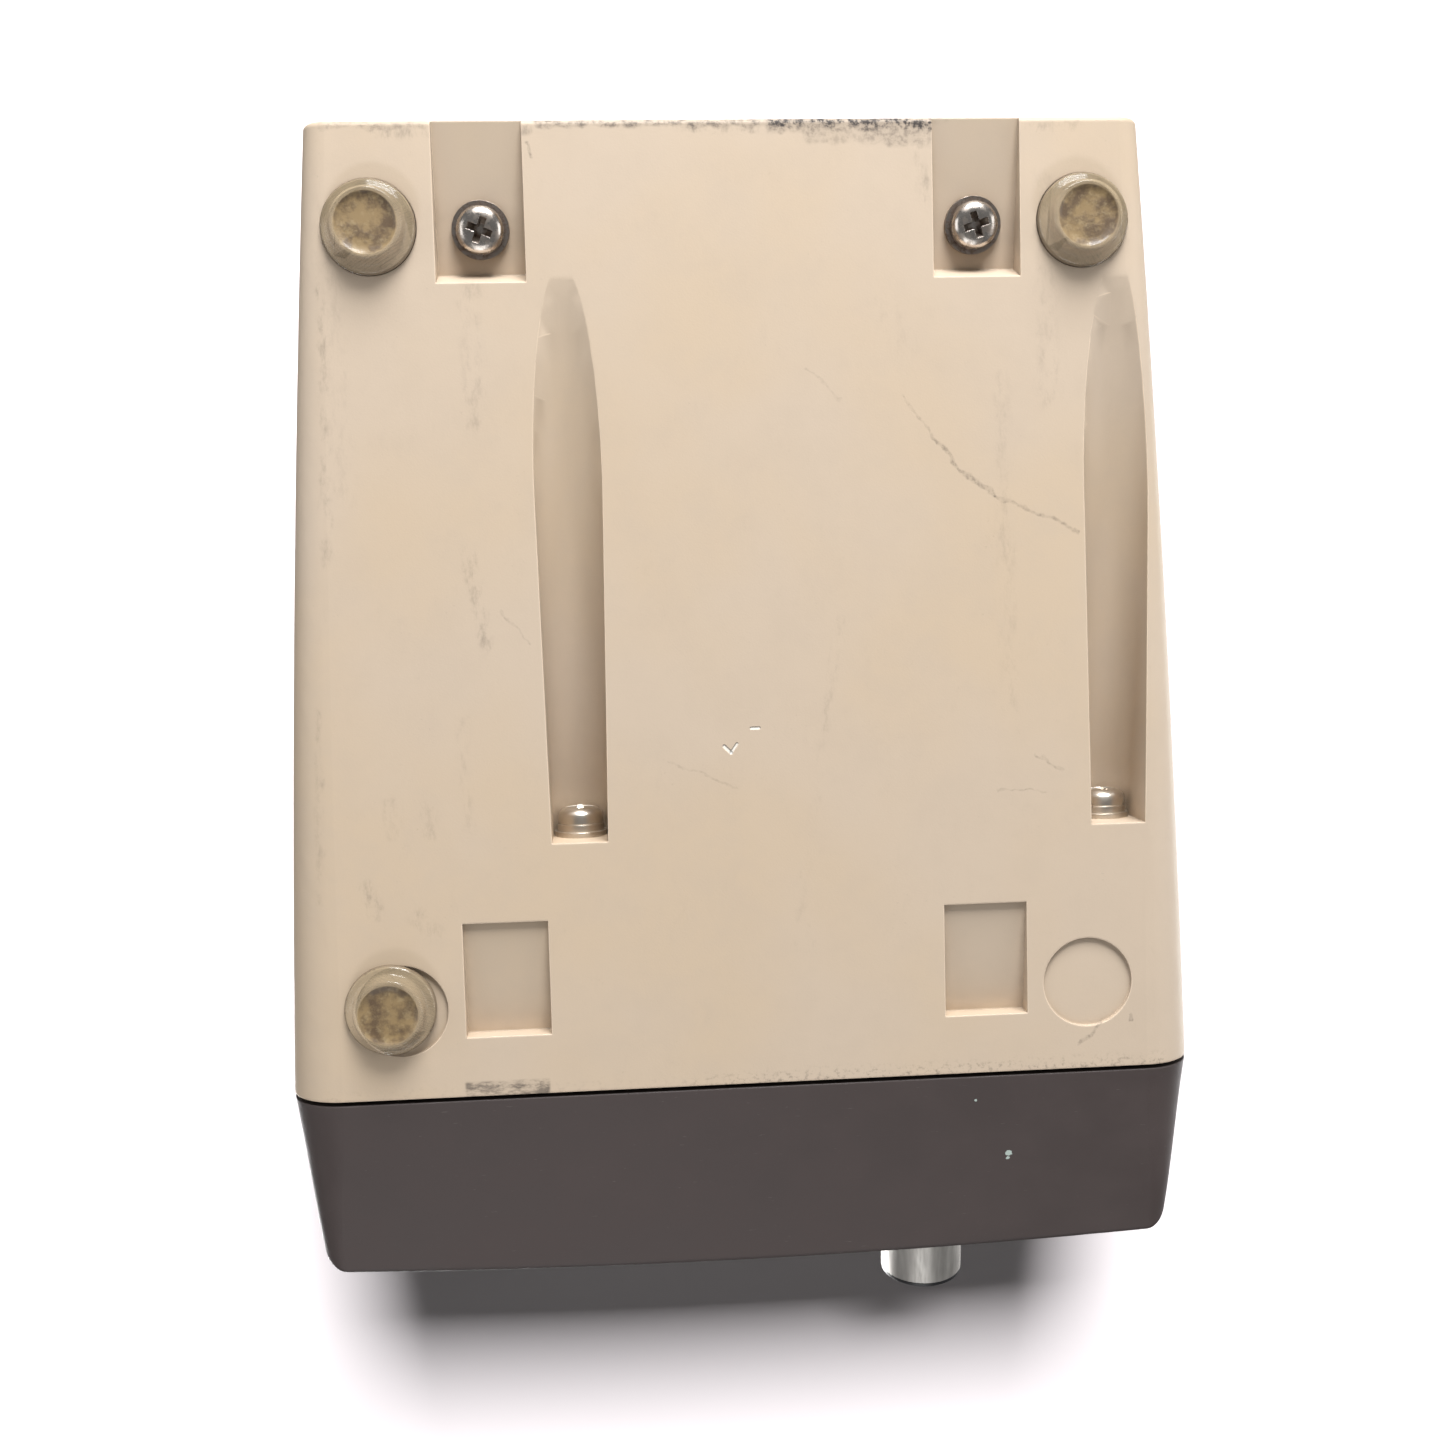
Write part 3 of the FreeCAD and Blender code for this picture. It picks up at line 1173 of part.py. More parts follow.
strap_body = new_body("strap_sheet")
strap_profile = new_sketch("strap_profile", strap_body, "XZ_Plane",
                           s.strap_width / 2 - s.core_place)
inner, outer = s.core_width / 2, s.core_width / 2 + s.strap_thickness
reach = outer + s.strap_foot
low, foot_top = core_low, core_low + s.strap_thickness
high = core_low + s.core_height
mid = s.core_side
polygon(strap_profile, [
    (mid - reach, low), (mid - inner, low), (mid - inner, high), (mid + inner, high),
    (mid + inner, low), (mid + reach, low), (mid + reach, foot_top), (mid + outer, foot_top),
    (mid + outer, high + s.strap_thickness), (mid - outer, high + s.strap_thickness),
    (mid - outer, foot_top), (mid - reach, foot_top)])
pad(strap_body, strap_profile, s.strap_width, backwards=True)
strap_holes = new_sketch("strap_holes", strap_body, "XY_Plane", low)
for x, y in strap_places:
    circle(strap_holes, x, y, s.small_screw_radius + s.screw_clearance)
pocket(strap_body, strap_holes, s.strap_thickness, backwards=True)
seat("transformer_strap", strap_body)
seat("transformer_screws", copies("transformer_screws", small_screw, [
    at(x, y, foot_top) for x, y in strap_places]))

# ---------------------------------------------------------------- main circuit board

board = new_body("board_sheet")
board_outline = new_sketch("board_outline", board, "XY_Plane", board_bottom)
polygon(board_outline, [
    (-s.board_left, s.board_front), (-s.board_right, s.board_front),
    (-s.board_right, s.board_rear), (-s.board_left, s.board_rear)])
pad(board, board_outline, s.board_thickness)
board_holes = new_sketch("board_holes", board, "XY_Plane", board_bottom)
for x, y in standoff_places:
    circle(board_holes, x, y, s.small_screw_radius + s.screw_clearance)
pocket(board, board_holes, s.board_thickness, backwards=True)
seat("main_board", board)
standoff = washer("standoff", s.standoff_radius, small_thread, s.standoff_height)
seat("board_standoffs", copies("board_standoffs", standoff, [
    at(x, y, chassis_top) for x, y in standoff_places]))
seat("board_screws", copies("board_screws", small_screw, [
    at(x, y, board_top) for x, y in standoff_places]))

board_middle = -(s.board_left + s.board_right) / 2
can_profiles = [("large_capacitor", 8.0, 25.0, -8.0, 43.0),
                ("small_capacitor", 5.0, 16.0, 9.0, 53.0)]
for label, radius, height, x_shift, y_shift in can_profiles:
    can = turned(label + "_can", [
        (0, 0), (radius, 0), (radius, 1.6), (radius - 0.4, 2.2), (radius, 2.8),
        (radius, height - 0.6), (radius - 0.6, height), (0, height)])
    put(can, board_middle + x_shift, s.board_front + y_shift, board_top)
    seat(label, can)

# heatsink: a comb of fins on a back plate, with the regulator clamped to the plate
sink_width, sink_plate, fin_count = 32.0, 3.0, 6
fin_thickness, fin_length, sink_height = 1.4, 10.0, 30.0
sink_place = s.board_rear - 24.0
fin_pitch = (sink_width - fin_thickness) / (fin_count - 1)
sink_left = board_middle - sink_width / 2
sink_parts = [box("sink_plate", (sink_left, sink_place - sink_plate, board_top),
                  (sink_width, sink_plate, sink_height))]
for fin in range(fin_count):
    sink_parts.append(box("sink_fin", (sink_left + fin * fin_pitch, sink_place - 0.5, board_top),
                          (fin_thickness, fin_length, sink_height)))
seat("heatsink", fuse("heatsink_comb", sink_parts))
regulator_body = fuse("regulator_solid", [
    box("regulator_tab", (board_middle - 5, sink_place - sink_plate - 1.3, board_top + 4),
        (10, 1.3, 15.5)),
    box("regulator_case", (board_middle - 5, sink_place - sink_plate - 4.5, board_top + 4),
        (10, 3.5, 9)),
    *[box("regulator_leg", (board_middle + step - 0.4, sink_place - sink_plate - 3, board_top),
          (0.8, 0.6, 5)) for step in (-2.54, 0.0, 2.54)]])
seat("regulator", regulator_body)

fuse_level = board_top + 5.0
fuse_place = s.board_front + 28.0
fuse_left = board_middle - 10
fuse_body = fuse("fuse_solid", [
    cylinder("fuse_glass", 2.3, 20.0, (fuse_left, fuse_place, fuse_level), "X"),
    cylinder("fuse_cap_left", 2.6, 5.0, (fuse_left, fuse_place, fuse_level), "X"),
    cylinder("fuse_cap_right", 2.6, 5.0, (fuse_left + 15, fuse_place, fuse_level), "X")])
seat("fuse", fuse_body)
clip = cut("clip_cut", box("clip_block", (0, -3.4, 0), (4, 6.8, 7.0)), [
    cylinder("clip_bore", 2.6, 10.0, (-3, 0, 5.0), "X"),
    box("clip_mouth", (-3, -1.8, 5.0), (10, 3.6, 5))])
seat("fuse_clips", copies("fuse_clips", clip, [
    at(fuse_left + step, fuse_place, board_top) for step in (0.5, 15.5)]))

seat("rectifier", box("rectifier_case", (board_middle + 2, fuse_place + 8, board_top), (15, 6, 12)))
seat("relay", box("relay_case", (board_middle - 14, s.board_front + 10, board_top), (15, 12, 14)))
header_pins = [box("header_pin", (board_middle + 5 + step * 3.96, s.board_front + 11, board_top + 2),
                   (1.1, 1.1, 9)) for step in range(3)]
header_wall = box("header_wall", (board_middle + 2.5, s.board_front + 8, board_top), (13, 2.0, 9))
header_base = box("header_base", (board_middle + 2.5, s.board_front + 8, board_top), (13, 6.5, 3))
seat("board_header", fuse("header_solid", [header_base, header_wall] + header_pins))

# ---------------------------------------------------------------- mains inlet

inlet_back = s.housing_length + s.inlet_flange_thickness - s.inlet_length
inlet_middle = -s.inlet_side
inlet_gap = Size.of(0.15)


def inlet_box(label, width, height, start, length):
    return box(label, (inlet_middle - width / 2, start, s.inlet_rise - height / 2),
               (width, length, height))


inlet_solid = fuse("inlet_solid", [
    inlet_box("inlet_flange", s.inlet_flange_width, s.inlet_flange_height, s.housing_length,
              s.inlet_flange_thickness),
    inlet_box("inlet_body", s.inlet_width - inlet_gap * 2, s.inlet_height - inlet_gap * 2,
              inlet_back, s.inlet_length - s.inlet_flange_thickness)])
cavity_width = s.inlet_width - s.inlet_wall * 2
cavity_height = s.inlet_height - s.inlet_wall * 2
cavity_depth = s.inlet_length - 3.0
cavity_start = inlet_face - cavity_depth
inlet_cuts = [inlet_box("inlet_cavity", cavity_width, cavity_height, cavity_start,
                        cavity_depth + DRAWING_CLEAR)]
for mirror in MIRRORED:
    inlet_cuts.append(cylinder(
        "inlet_flange_hole", s.small_screw_radius + s.screw_clearance,
        s.inlet_flange_thickness + DRAWING_CLEAR * 2,
        (inlet_middle + mirror * s.inlet_screw_reach, s.housing_length - DRAWING_CLEAR,
         s.inlet_rise), "Y"))
blade_places = [(-7.0, -2.0), (0.0, 2.0), (7.0, -2.0)]
blade_width, blade_height, blade_tail = 2.0, 4.0, 6.0
blade_length = blade_tail + s.inlet_length - 3.0
for x, z in blade_places:
    inlet_cuts.append(box("blade_slot", (inlet_middle + x - blade_width / 2,
                                         inlet_back - DRAWING_CLEAR,
                                         s.inlet_rise + z - blade_height / 2),
                          (blade_width, s.inlet_length / 2, blade_height)))
seat("mains_inlet", cut("inlet_cut", inlet_solid, inlet_cuts))
blade = box("blade", (-blade_width / 2, 0, -blade_height / 2), (blade_width, blade_length, blade_height))
seat("inlet_blades", copies("inlet_blades", blade, [
    at(inlet_middle + x, inlet_back - blade_tail, s.inlet_rise + z) for x, z in blade_places]))
inlet_screw_places = [inlet_middle + mirror * s.inlet_screw_reach for mirror in MIRRORED]
seat("inlet_screws", copies("inlet_screws", small_screw, [
    at(x, inlet_face, s.inlet_rise, POINT_REAR) for x in inlet_screw_places]))
inlet_nut = nut("inlet_nut_flats", Size.of(5.5), small_thread, Size.of(2.4))
seat("inlet_nuts", copies("inlet_nuts", inlet_nut, [
    at(x, s.housing_length - s.housing_wall, s.inlet_rise, POINT_FRONT)
    for x in inlet_screw_places]))

# ---------------------------------------------------------------- checks and export

doc.recompute()
faults = [obj.Name for obj in doc.Objects if "Invalid" in obj.State or "Error" in obj.State]
for obj in nodes:
    if obj.Shape.isNull() or not obj.Shape.isValid() or not obj.Shape.Solids:
        faults.append(obj.Label)
if faults:
    raise RuntimeError("failed: " + ", ".join(faults))
for obj in nodes:
    obj.Shape.exportStep("parts/%s.step" % obj.Label)
print(len(nodes), "nodes")
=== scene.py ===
"""Benchtop control unit: finishes, finished pieces and a small studio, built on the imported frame."""

import json
import math

import bpy
from bpy.props import FloatProperty, FloatVectorProperty, IntProperty, PointerProperty
from mathutils import Euler, Matrix, Vector


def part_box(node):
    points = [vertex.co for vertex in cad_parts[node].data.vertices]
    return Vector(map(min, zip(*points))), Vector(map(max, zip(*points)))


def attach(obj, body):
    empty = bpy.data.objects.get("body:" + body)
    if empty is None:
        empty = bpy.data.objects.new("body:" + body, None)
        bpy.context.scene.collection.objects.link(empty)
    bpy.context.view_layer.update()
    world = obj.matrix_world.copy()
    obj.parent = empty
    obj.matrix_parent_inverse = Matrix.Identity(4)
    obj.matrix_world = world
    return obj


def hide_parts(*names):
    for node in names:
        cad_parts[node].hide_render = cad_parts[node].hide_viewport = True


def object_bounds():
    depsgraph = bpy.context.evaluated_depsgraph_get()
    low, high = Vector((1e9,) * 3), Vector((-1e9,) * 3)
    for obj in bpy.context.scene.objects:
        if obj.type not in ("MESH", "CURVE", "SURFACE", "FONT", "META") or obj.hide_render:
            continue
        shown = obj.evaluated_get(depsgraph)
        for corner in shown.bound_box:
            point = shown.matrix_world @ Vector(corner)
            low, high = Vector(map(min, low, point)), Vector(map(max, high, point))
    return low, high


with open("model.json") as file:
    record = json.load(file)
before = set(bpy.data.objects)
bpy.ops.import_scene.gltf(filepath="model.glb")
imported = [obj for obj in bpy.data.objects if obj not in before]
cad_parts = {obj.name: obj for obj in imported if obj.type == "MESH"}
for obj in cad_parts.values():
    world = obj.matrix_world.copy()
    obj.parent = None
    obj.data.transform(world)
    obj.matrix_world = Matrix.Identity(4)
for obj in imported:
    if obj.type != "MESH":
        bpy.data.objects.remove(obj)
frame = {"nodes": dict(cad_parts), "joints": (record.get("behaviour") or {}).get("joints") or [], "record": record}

bl_info = {
    "name": "Benchtop control unit",
    "version": (1, 0, 0),
    "blender": (4, 5, 0),
    "location": "3D View > Sidebar > Control unit",
    "description": "Finishes, finished pieces and a studio for a small benchtop control unit",
    "category": "Object",
}

MM = 0.001
CAD_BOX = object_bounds()
BODY_OF_NODE = {node: body for body, nodes in frame["record"]["behaviour"]["bodies"].items() for node in nodes}
SLOT_OF_NODE = {part["node"]: part["material_slot"] for part in frame["record"]["subparts"]}
RECORD_COLOURS = {entry["slot"]: entry["base_color"][:3] for entry in frame["record"]["materials"]}
JOINTS = {joint["name"]: joint for joint in frame["joints"]}

# The control panel leans back: its outward direction is the axis that the knob turns about.
PANEL_OUT = Vector(JOINTS["knob_turn"]["axis"])
PANEL_ORIGIN = Vector(JOINTS["knob_turn"]["pos_m"])
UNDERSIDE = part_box("housing")[0].z
# Marks on the underside are full below the second height and gone above the first, in millimetres.
UNDERSIDE_BAND = (UNDERSIDE / MM + 0.9, UNDERSIDE / MM + 0.3)
FEET = [node for node in sorted(frame["nodes"]) if node.startswith("foot_")]

WAVER = 2.6                     # how far the marks' outlines wander, in millimetres
TABLE_SIZE = 6.0                # width of the table's plane, in metres
TABLE_FADE = (300.0, 650.0)     # the table fades out between these distances, in millimetres
LIGHT_DISTANCE = 0.9            # from the middle of the unit to each light, in metres
FILL_SIZE = 0.6                 # width of the square lights that fill in the shade, in metres


def middle(node):
    """The middle of a CAD node's box."""
    low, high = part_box(node)
    return (low + high) / 2


def reach(node, direction, wanted=lambda point: True):
    """How far the points of a CAD node reach along a direction: least and greatest."""
    points = (vertex.co for vertex in frame["nodes"][node].data.vertices)
    distances = [point.dot(direction) for point in points if wanted(point)]
    return min(distances), max(distances)


def axes_along(out):
    """A turn that stands a piece drawn about Z along out, keeping its X level."""
    right = Vector((1.0, 0.0, 0.0))
    return Matrix((right, out.cross(right), out)).transposed().to_4x4()


# ---------------------------------------------------------------- settings


def length(name, description, default, **limits):
    """A size in metres that a user may change."""
    return FloatProperty(name=name, description=description, default=default, unit="LENGTH", precision=5, **limits)


def colour(name, description, default):
    """A colour that a user may change."""
    return FloatVectorProperty(name=name, description=description, default=default, subtype="COLOR",
                               size=3, min=0.0, max=1.0)


def share(name, description, default, high=1.0):
    """A strength from 0 upwards."""
    return FloatProperty(name=name, description=description, default=default, min=0.0, max=high, subtype="FACTOR")


class UnitSizes(bpy.types.PropertyGroup):
    """Sizes of the pieces that are finished here."""

    edge_softness: length("Edge softness", "Radius that moulded and pressed edges are softened by", 0.35 * MM)
    grain_depth: length("Grain depth", "Depth of the moulded surface's fine grain", 0.012 * MM)
    screw_lean: FloatProperty(name="Screw lean", description="How far the rear screws lean with their recess floors",
                              default=math.radians(10.0), subtype="ANGLE")
    head_radius: length("Head radius", "Radius of the screws' pan heads", 3.5 * MM)
    head_height: length("Head height", "Height of the screws' pan heads", 2.6 * MM)
    thread_radius: length("Thread radius", "Outside radius of the screw threads", 1.95 * MM)
    thread_pitch: length("Thread pitch", "Distance from one thread to the next", 0.7 * MM)
    foot_rim: length("Foot rim", "Width of the raised rim round a foot's contact face", 0.55 * MM)
    foot_dish: length("Foot dish", "Depth of the hollow in a foot's contact face", 0.35 * MM)
    print_height: length("Print height", "How far the printed marks stand on the panel", 0.03 * MM)
    tick_width: length("Tick width", "Width of a dial mark", 0.4 * MM)
    dial_steps: IntProperty(name="Dial steps", description="Number of steps on the knob's dial", default=10, min=2)


class UnitColours(bpy.types.PropertyGroup):
    """Colours and wear of the finishes."""

    housing: colour("Housing", "Beige of the moulded housing", (0.515, 0.418, 0.322))
    housing_aged: colour("Aged housing", "Yellower beige of the aged patches", (0.520, 0.408, 0.290))
    bezel: colour("Bezel", "Dark grey of the moulded bezel", (0.0575, 0.0435, 0.0415))
    rubber: colour("Rubber", "Tint of the clear rubber feet", (0.74, 0.585, 0.38))
    dirt: colour("Dirt", "Dark scuffs and ground-in dirt", (0.045, 0.036, 0.032))
    panel: colour("Panel", "Paint of the control panel", (0.52, 0.51, 0.48))
    wear: share("Wear", "Strength of the scuffs and scratches", 1.0, 2.0)
    # Strength of the brown grime and painted shade laid into corners.
    grime: share("Grime", "Strength of the dirt in corners", 0.55)


class StudioSettings(bpy.types.PropertyGroup):
    """Light and camera of the studio."""

    lens: FloatProperty(name="Lens", description="Focal length on a 36 mm wide sensor, in millimetres",
                        default=39.86, min=10.0)
    camera_place: FloatVectorProperty(name="Camera place", description="Where the camera stands", size=3,
                                      default=(0.01955, 0.02434, -0.23417), subtype="TRANSLATION", precision=5)
    camera_turn: FloatVectorProperty(name="Camera turn", description="Rotation of the camera", size=3,
                                     default=tuple(math.radians(a) for a in (175.4394, 4.0853, -178.5055)),
                                     subtype="EULER", precision=4)
    key_power: FloatProperty(name="Key light", description="Power of the key light in watts", default=17.0, min=0.0)
    key_size: length("Key size", "Width of the square key light", 0.45)
    table_power: FloatProperty(name="Table light", description="Power of the light on the table in watts",
                               default=36.0, min=0.0)
    surround: FloatProperty(name="Surround", description="Brightness of the even light from all round",
                            default=0.18, min=0.0)
    table: colour("Table", "Colour of the table", (0.41, 0.385, 0.395))


# ---------------------------------------------------------------- shader arithmetic


class Value:
    """A socket of a material. Arithmetic on it adds Math nodes."""

    def __init__(self, finish, socket):
        self.finish = finish
        self.socket = socket

    def calculate(self, operation, *others):
        return self.finish.node("ShaderNodeMath", {"operation": operation}, [self, *others])

    def __add__(self, other):
        return self.calculate("ADD", other)

    def __sub__(self, other):
        return self.calculate("SUBTRACT", other)

    def __rsub__(self, other):
        return self.finish.node("ShaderNodeMath", {"operation": "SUBTRACT"}, [other, self])

    def __mul__(self, other):
        return self.calculate("MULTIPLY", other)

    __radd__ = __add__


class Finish:
    """One material, with short names for the nodes that it is built from."""

    def __init__(self, name, **constants):
        self.material = bpy.data.materials.new(name)
        self.material.use_nodes = True
        self.tree = self.material.node_tree
        self.shader = self.tree.nodes["Principled BSDF"]
        for socket, number in constants.items():
            self.shader.inputs[socket.replace("_", " ").title().replace("Ior", "IOR")].default_value = number

    def node(self, kind, settings, sockets, output=0):
        """Adds a node, sets it up, fills its sockets with numbers or links, and returns one output."""
        added = self.tree.nodes.new(kind)
        for name, setting in settings.items():
            setattr(added, name, setting)
        pairs = sockets.items() if isinstance(sockets, dict) else enumerate(sockets)
        for key, content in pairs:
            self.fill(added.inputs[key], content)
        return Value(self, added.outputs[output])

    def fill(self, socket, content):
        if isinstance(content, Value):
            self.tree.links.new(content.socket, socket)
        elif socket.type == "RGBA" and len(content) == 3:
            socket.default_value = (*content, 1.0)
        else:
            socket.default_value = content

    def drive(self, socket, content):
        """Links a value to one of the shader's own sockets."""
        self.tree.links.new(content.socket, self.shader.inputs[socket])

    def vector(self, operation, *inputs, output=0):
        """One step of arithmetic on points."""
        return self.node("ShaderNodeVectorMath", {"operation": operation}, inputs, output)

    def distance(self, point, spot):
        """How far a point is from a spot."""
        return self.vector("DISTANCE", point, spot, output="Value")

    def flatten(self, point):
        """The X, Y and Z of a point, and the point laid down at Z = 0."""
        x, y, z = (self.node("ShaderNodeSeparateXYZ", {}, [point], axis) for axis in range(3))
        return x, y, z, self.node("ShaderNodeCombineXYZ", {}, [x, y, 0.0])

    def place(self, stretch=(1.0, 1.0, 1.0)):
        """The surface point in millimetres, in the part's own frame."""
        point = self.node("ShaderNodeTexCoord", {}, {}, "Object")
        return self.vector("MULTIPLY", point, tuple(factor / MM for factor in stretch))

    def noise(self, point, size, detail=3.0, roughness=0.55):
        """Cloudy noise from 0 to 1 whose blots are about size millimetres wide."""
        return self.node("ShaderNodeTexNoise", {},
                         {"Vector": point, "Scale": 1.0 / size, "Detail": detail, "Roughness": roughness}, 0)

    def rise(self, value, low, high, floor=0.0, top=1.0):
        """A smooth step from floor to top as value goes from low to high."""
        return self.node("ShaderNodeMapRange", {"interpolation_type": "SMOOTHSTEP"},
                         {"Value": value, "From Min": low, "From Max": high, "To Min": floor, "To Max": top})

    def mix(self, first, second, factor):
        """A colour between two colours."""
        settings = {"data_type": "RGBA", "clamp_factor": True}
        return self.node("ShaderNodeMix", settings, {0: factor, 6: first, 7: second}, 2)

    def corners(self, width):
        """1 in tight corners, falling to 0 on open faces. width is in metres."""
        open_sky = self.node("ShaderNodeAmbientOcclusion", {"samples": 6}, {"Distance": width}, "AO")
        return self.rise(open_sky, 0.9, 0.35)

    def worn_edges(self, width, corner):
        """1 on outside edges, where the surface turns within width metres, and 0 on flat faces."""
        rounded = self.node("ShaderNodeBevel", {"samples": 6}, {"Radius": width})
        true_normal = self.node("ShaderNodeNewGeometry", {}, {}, "True Normal")
        agree = self.vector("DOT_PRODUCT", rounded, true_normal, output="Value")
        return self.rise(agree, 0.975, 0.88) * (1.0 - corner)

    def relief(self, height, depth, softness=None):
        """Sets the shader's normal from a height of 0 to 1 that stands for depth metres, on softened edges."""
        sockets = {"Height": height, "Distance": depth, "Strength": 1.0}
        if softness:
            sockets["Normal"] = self.node("ShaderNodeBevel", {"samples": 4}, {"Radius": softness})
        self.drive("Normal", self.node("ShaderNodeBump", {}, sockets))

    def stroke(self, point, start, end, width):
        """1 along a line on the underside, falling to 0 at width to either side. All in millimetres."""
        start, end = Vector((*start, 0.0)), Vector((*end, 0.0))
        whole = (end - start).length
        along = (end - start) / whole
        offset = self.vector("SUBTRACT", point, tuple(start))
        travel = self.vector("DOT_PRODUCT", offset, tuple(along), output="Value")
        travel = self.node("ShaderNodeClamp", {}, {"Value": travel, "Min": 0.0, "Max": whole})
        nearest = self.node("ShaderNodeVectorMath", {"operation": "SCALE"}, {0: tuple(along), "Scale": travel})
        return self.rise(self.distance(offset, nearest), width, width * 0.25)

    def patch(self, x, y, left, right, front, rear, blur):
        """1 inside a rectangle on the underside, with edges that fade over blur. All in millimetres."""
        across = self.rise(x, left - blur, left + blur) * self.rise(x, right + blur, right - blur)
        return across * self.rise(y, front - blur, front + blur) * self.rise(y, rear + blur, rear - blur)


def settings():
    scene = bpy.context.scene
    return scene.unit_sizes, scene.unit_colours, scene.unit_studio


# ---------------------------------------------------------------- wear on the underside

# Scuffs and scratches on the underside: start, end, half width, strength, all in millimetres.
DARK_MARKS = [
    # heavy rubbing along the rear edge
    ((-6.5, 91.9), (-29.5, 91.7), 1.5, 1.0),
    ((27.0, 92.4), (-32.0, 92.4), 1.0, 0.9),
    ((-20.0, 91.0), (-31.0, 89.2), 1.6, 0.35),
    ((-12.0, 90.2), (-27.0, 89.6), 1.2, 0.35),
    ((58.0, 92.2), (44.0, 92.0), 0.9, 0.45),
    # a knock beside the rear recess
    ((29.4, 89.2), (28.4, 87.4), 0.45, 0.8),
    # the long curved scratch towards the left channel
    ((-25.0, 52.6), (-29.5, 46.3), 0.32, 0.30),
    ((-29.5, 46.3), (-33.6, 41.3), 0.42, 0.60),
    ((-33.6, 41.3), (-38.2, 37.5), 0.50, 0.62),
    ((-38.2, 37.5), (-45.4, 34.7), 0.36, 0.42),
    ((-45.4, 34.7), (-51.2, 31.9), 0.42, 0.50),
    ((-10.5, 57.0), (-15.8, 52.0), 0.30, 0.22),
    # hairlines
    ((35.3, 22.8), (31.3, 17.2), 0.28, 0.28),
    ((11.4, -0.8), (1.2, -5.0), 0.26, 0.22),
    ((-44.6, -1.6), (-48.5, -4.0), 0.30, 0.35),
    ((-38.5, -6.3), (-46.0, -7.2), 0.26, 0.28),
    ((-54.6, -43.2), (-51.0, -46.4), 0.38, 0.55),
    ((-58.6, -42.4), (-58.9, -43.2), 0.45, 0.9),
]
SOFT_MARKS = [
    # rubbed columns and smudges
    ((39.8, 31.5), (37.6, 17.0), 1.6, 0.42),
    ((38.2, 71.0), (37.8, 50.0), 2.4, 0.24),
    ((41.6, 6.0), (41.2, -9.5), 1.3, 0.20),
    ((47.2, -6.8), (47.0, -10.4), 1.9, 0.22),
    ((52.4, -5.6), (52.2, -10.0), 1.7, 0.18),
    ((56.3, -18.4), (55.6, -21.6), 1.9, 0.40),
    ((49.6, -22.8), (47.0, -24.8), 2.0, 0.30),
    ((-39.8, 55.0), (-40.6, 6.0), 1.8, 0.18),
    ((-46.6, 84.0), (-46.9, 52.0), 2.4, 0.20),
    ((58.4, 78.0), (57.4, 40.0), 3.0, 0.15),
    ((-22.0, 66.0), (-26.0, 60.0), 3.0, 0.12),
    # grime along the rear edge and in the rear corners
    ((36.0, 91.0), (29.0, 91.4), 1.2, 0.55),
    ((51.0, 91.6), (43.8, 90.6), 1.3, 0.45),
    ((-44.5, 91.2), (-52.0, 91.6), 1.2, 0.30),
    ((8.0, 91.6), (-4.0, 91.4), 1.0, 0.45),
    ((-27.8, 88.5), (-29.0, 80.0), 1.3, 0.35),
    ((59.3, 70.0), (60.2, 30.0), 1.0, 0.30),
    ((62.6, 8.0), (64.0, -20.0), 1.1, 0.28),
    # the faint stripe across the middle
    ((-14.9, 19.4), (-12.2, 4.0), 1.3, 0.20),
    ((-12.2, 4.0), (-7.6, -29.0), 0.9, 0.12),
    ((-9.0, -27.0), (-9.8, -30.0), 0.9, 0.25),
]
NICKS = [
    ((2.9, 1.3), (1.9, 0.3), 0.35),
    ((1.9, 0.3), (1.0, 1.6), 0.30),
    ((-1.2, 3.9), (-2.4, 3.9), 0.28),
]
IMPRINT = (30.6, 43.2, -51.2, -48.2)        # left, right, front, rear of the rectangle of rubbed-off dirt


def underside_wear(finish, point):
    """How dirty the underside is from 0 to 1, and how deep its nicks are from 0 to 1."""
    x, y, z, flat = finish.flatten(point)
    on_underside = finish.rise(z, *UNDERSIDE_BAND)
    waver = finish.node("ShaderNodeTexNoise", {}, {"Vector": flat, "Scale": 0.35, "Detail": 4.0}, 1)
    waver = finish.vector("SUBTRACT", waver, (0.5, 0.5, 0.5))
    waver = finish.vector("MULTIPLY", waver, (WAVER, WAVER, 0.0))
    wavering = finish.vector("ADD", flat, waver)

    rubbed = finish.rise(finish.noise(flat, 1.1, 8.0, 0.72), 0.42, 0.64)
    drawn_out = finish.vector("MULTIPLY", flat, (1.0, 0.4, 1.0))
    smeared = finish.rise(finish.noise(drawn_out, 1.5, 9.0, 0.74), 0.44, 0.72)
    specks = finish.rise(finish.noise(flat, 0.55, 4.0, 0.6), 0.62, 0.72)
    cloudy = finish.rise(finish.noise(flat, 9.0, 5.0), 0.46, 0.68)

    dirt = specks * cloudy * 0.14 + cloudy * smeared * 0.045
    for start, end, width, strength in DARK_MARKS:
        dirt = dirt + finish.stroke(wavering, start, end, width) * (rubbed * 0.75 + 0.25) * strength
    for start, end, width, strength in SOFT_MARKS:
        dirt = dirt + finish.stroke(wavering, start, end, width) * smeared * strength

    drawn_sideways = finish.vector("MULTIPLY", flat, (0.4, 1.0, 1.0))
    left, right, front, rear = IMPRINT
    grubby = finish.rise(finish.noise(drawn_sideways, 1.3, 8.0, 0.72), 0.40, 0.60)
    dirt = dirt + finish.patch(x, y, left, right, front, rear, 0.25) * (grubby * 0.75 + 0.08)
    # specks caught along the joint with the bezel
    along_joint = finish.rise(y, -47.6, -50.2) * (finish.rise(x, 14.0, -2.0) * 0.75 + 0.25)
    dirt = dirt + along_joint * finish.rise(finish.noise(flat, 0.9, 8.0, 0.75), 0.50, 0.64) * 0.6

    cuts = sum(finish.stroke(flat, *nick) for nick in NICKS)
    return dirt * on_underside, cuts * on_underside


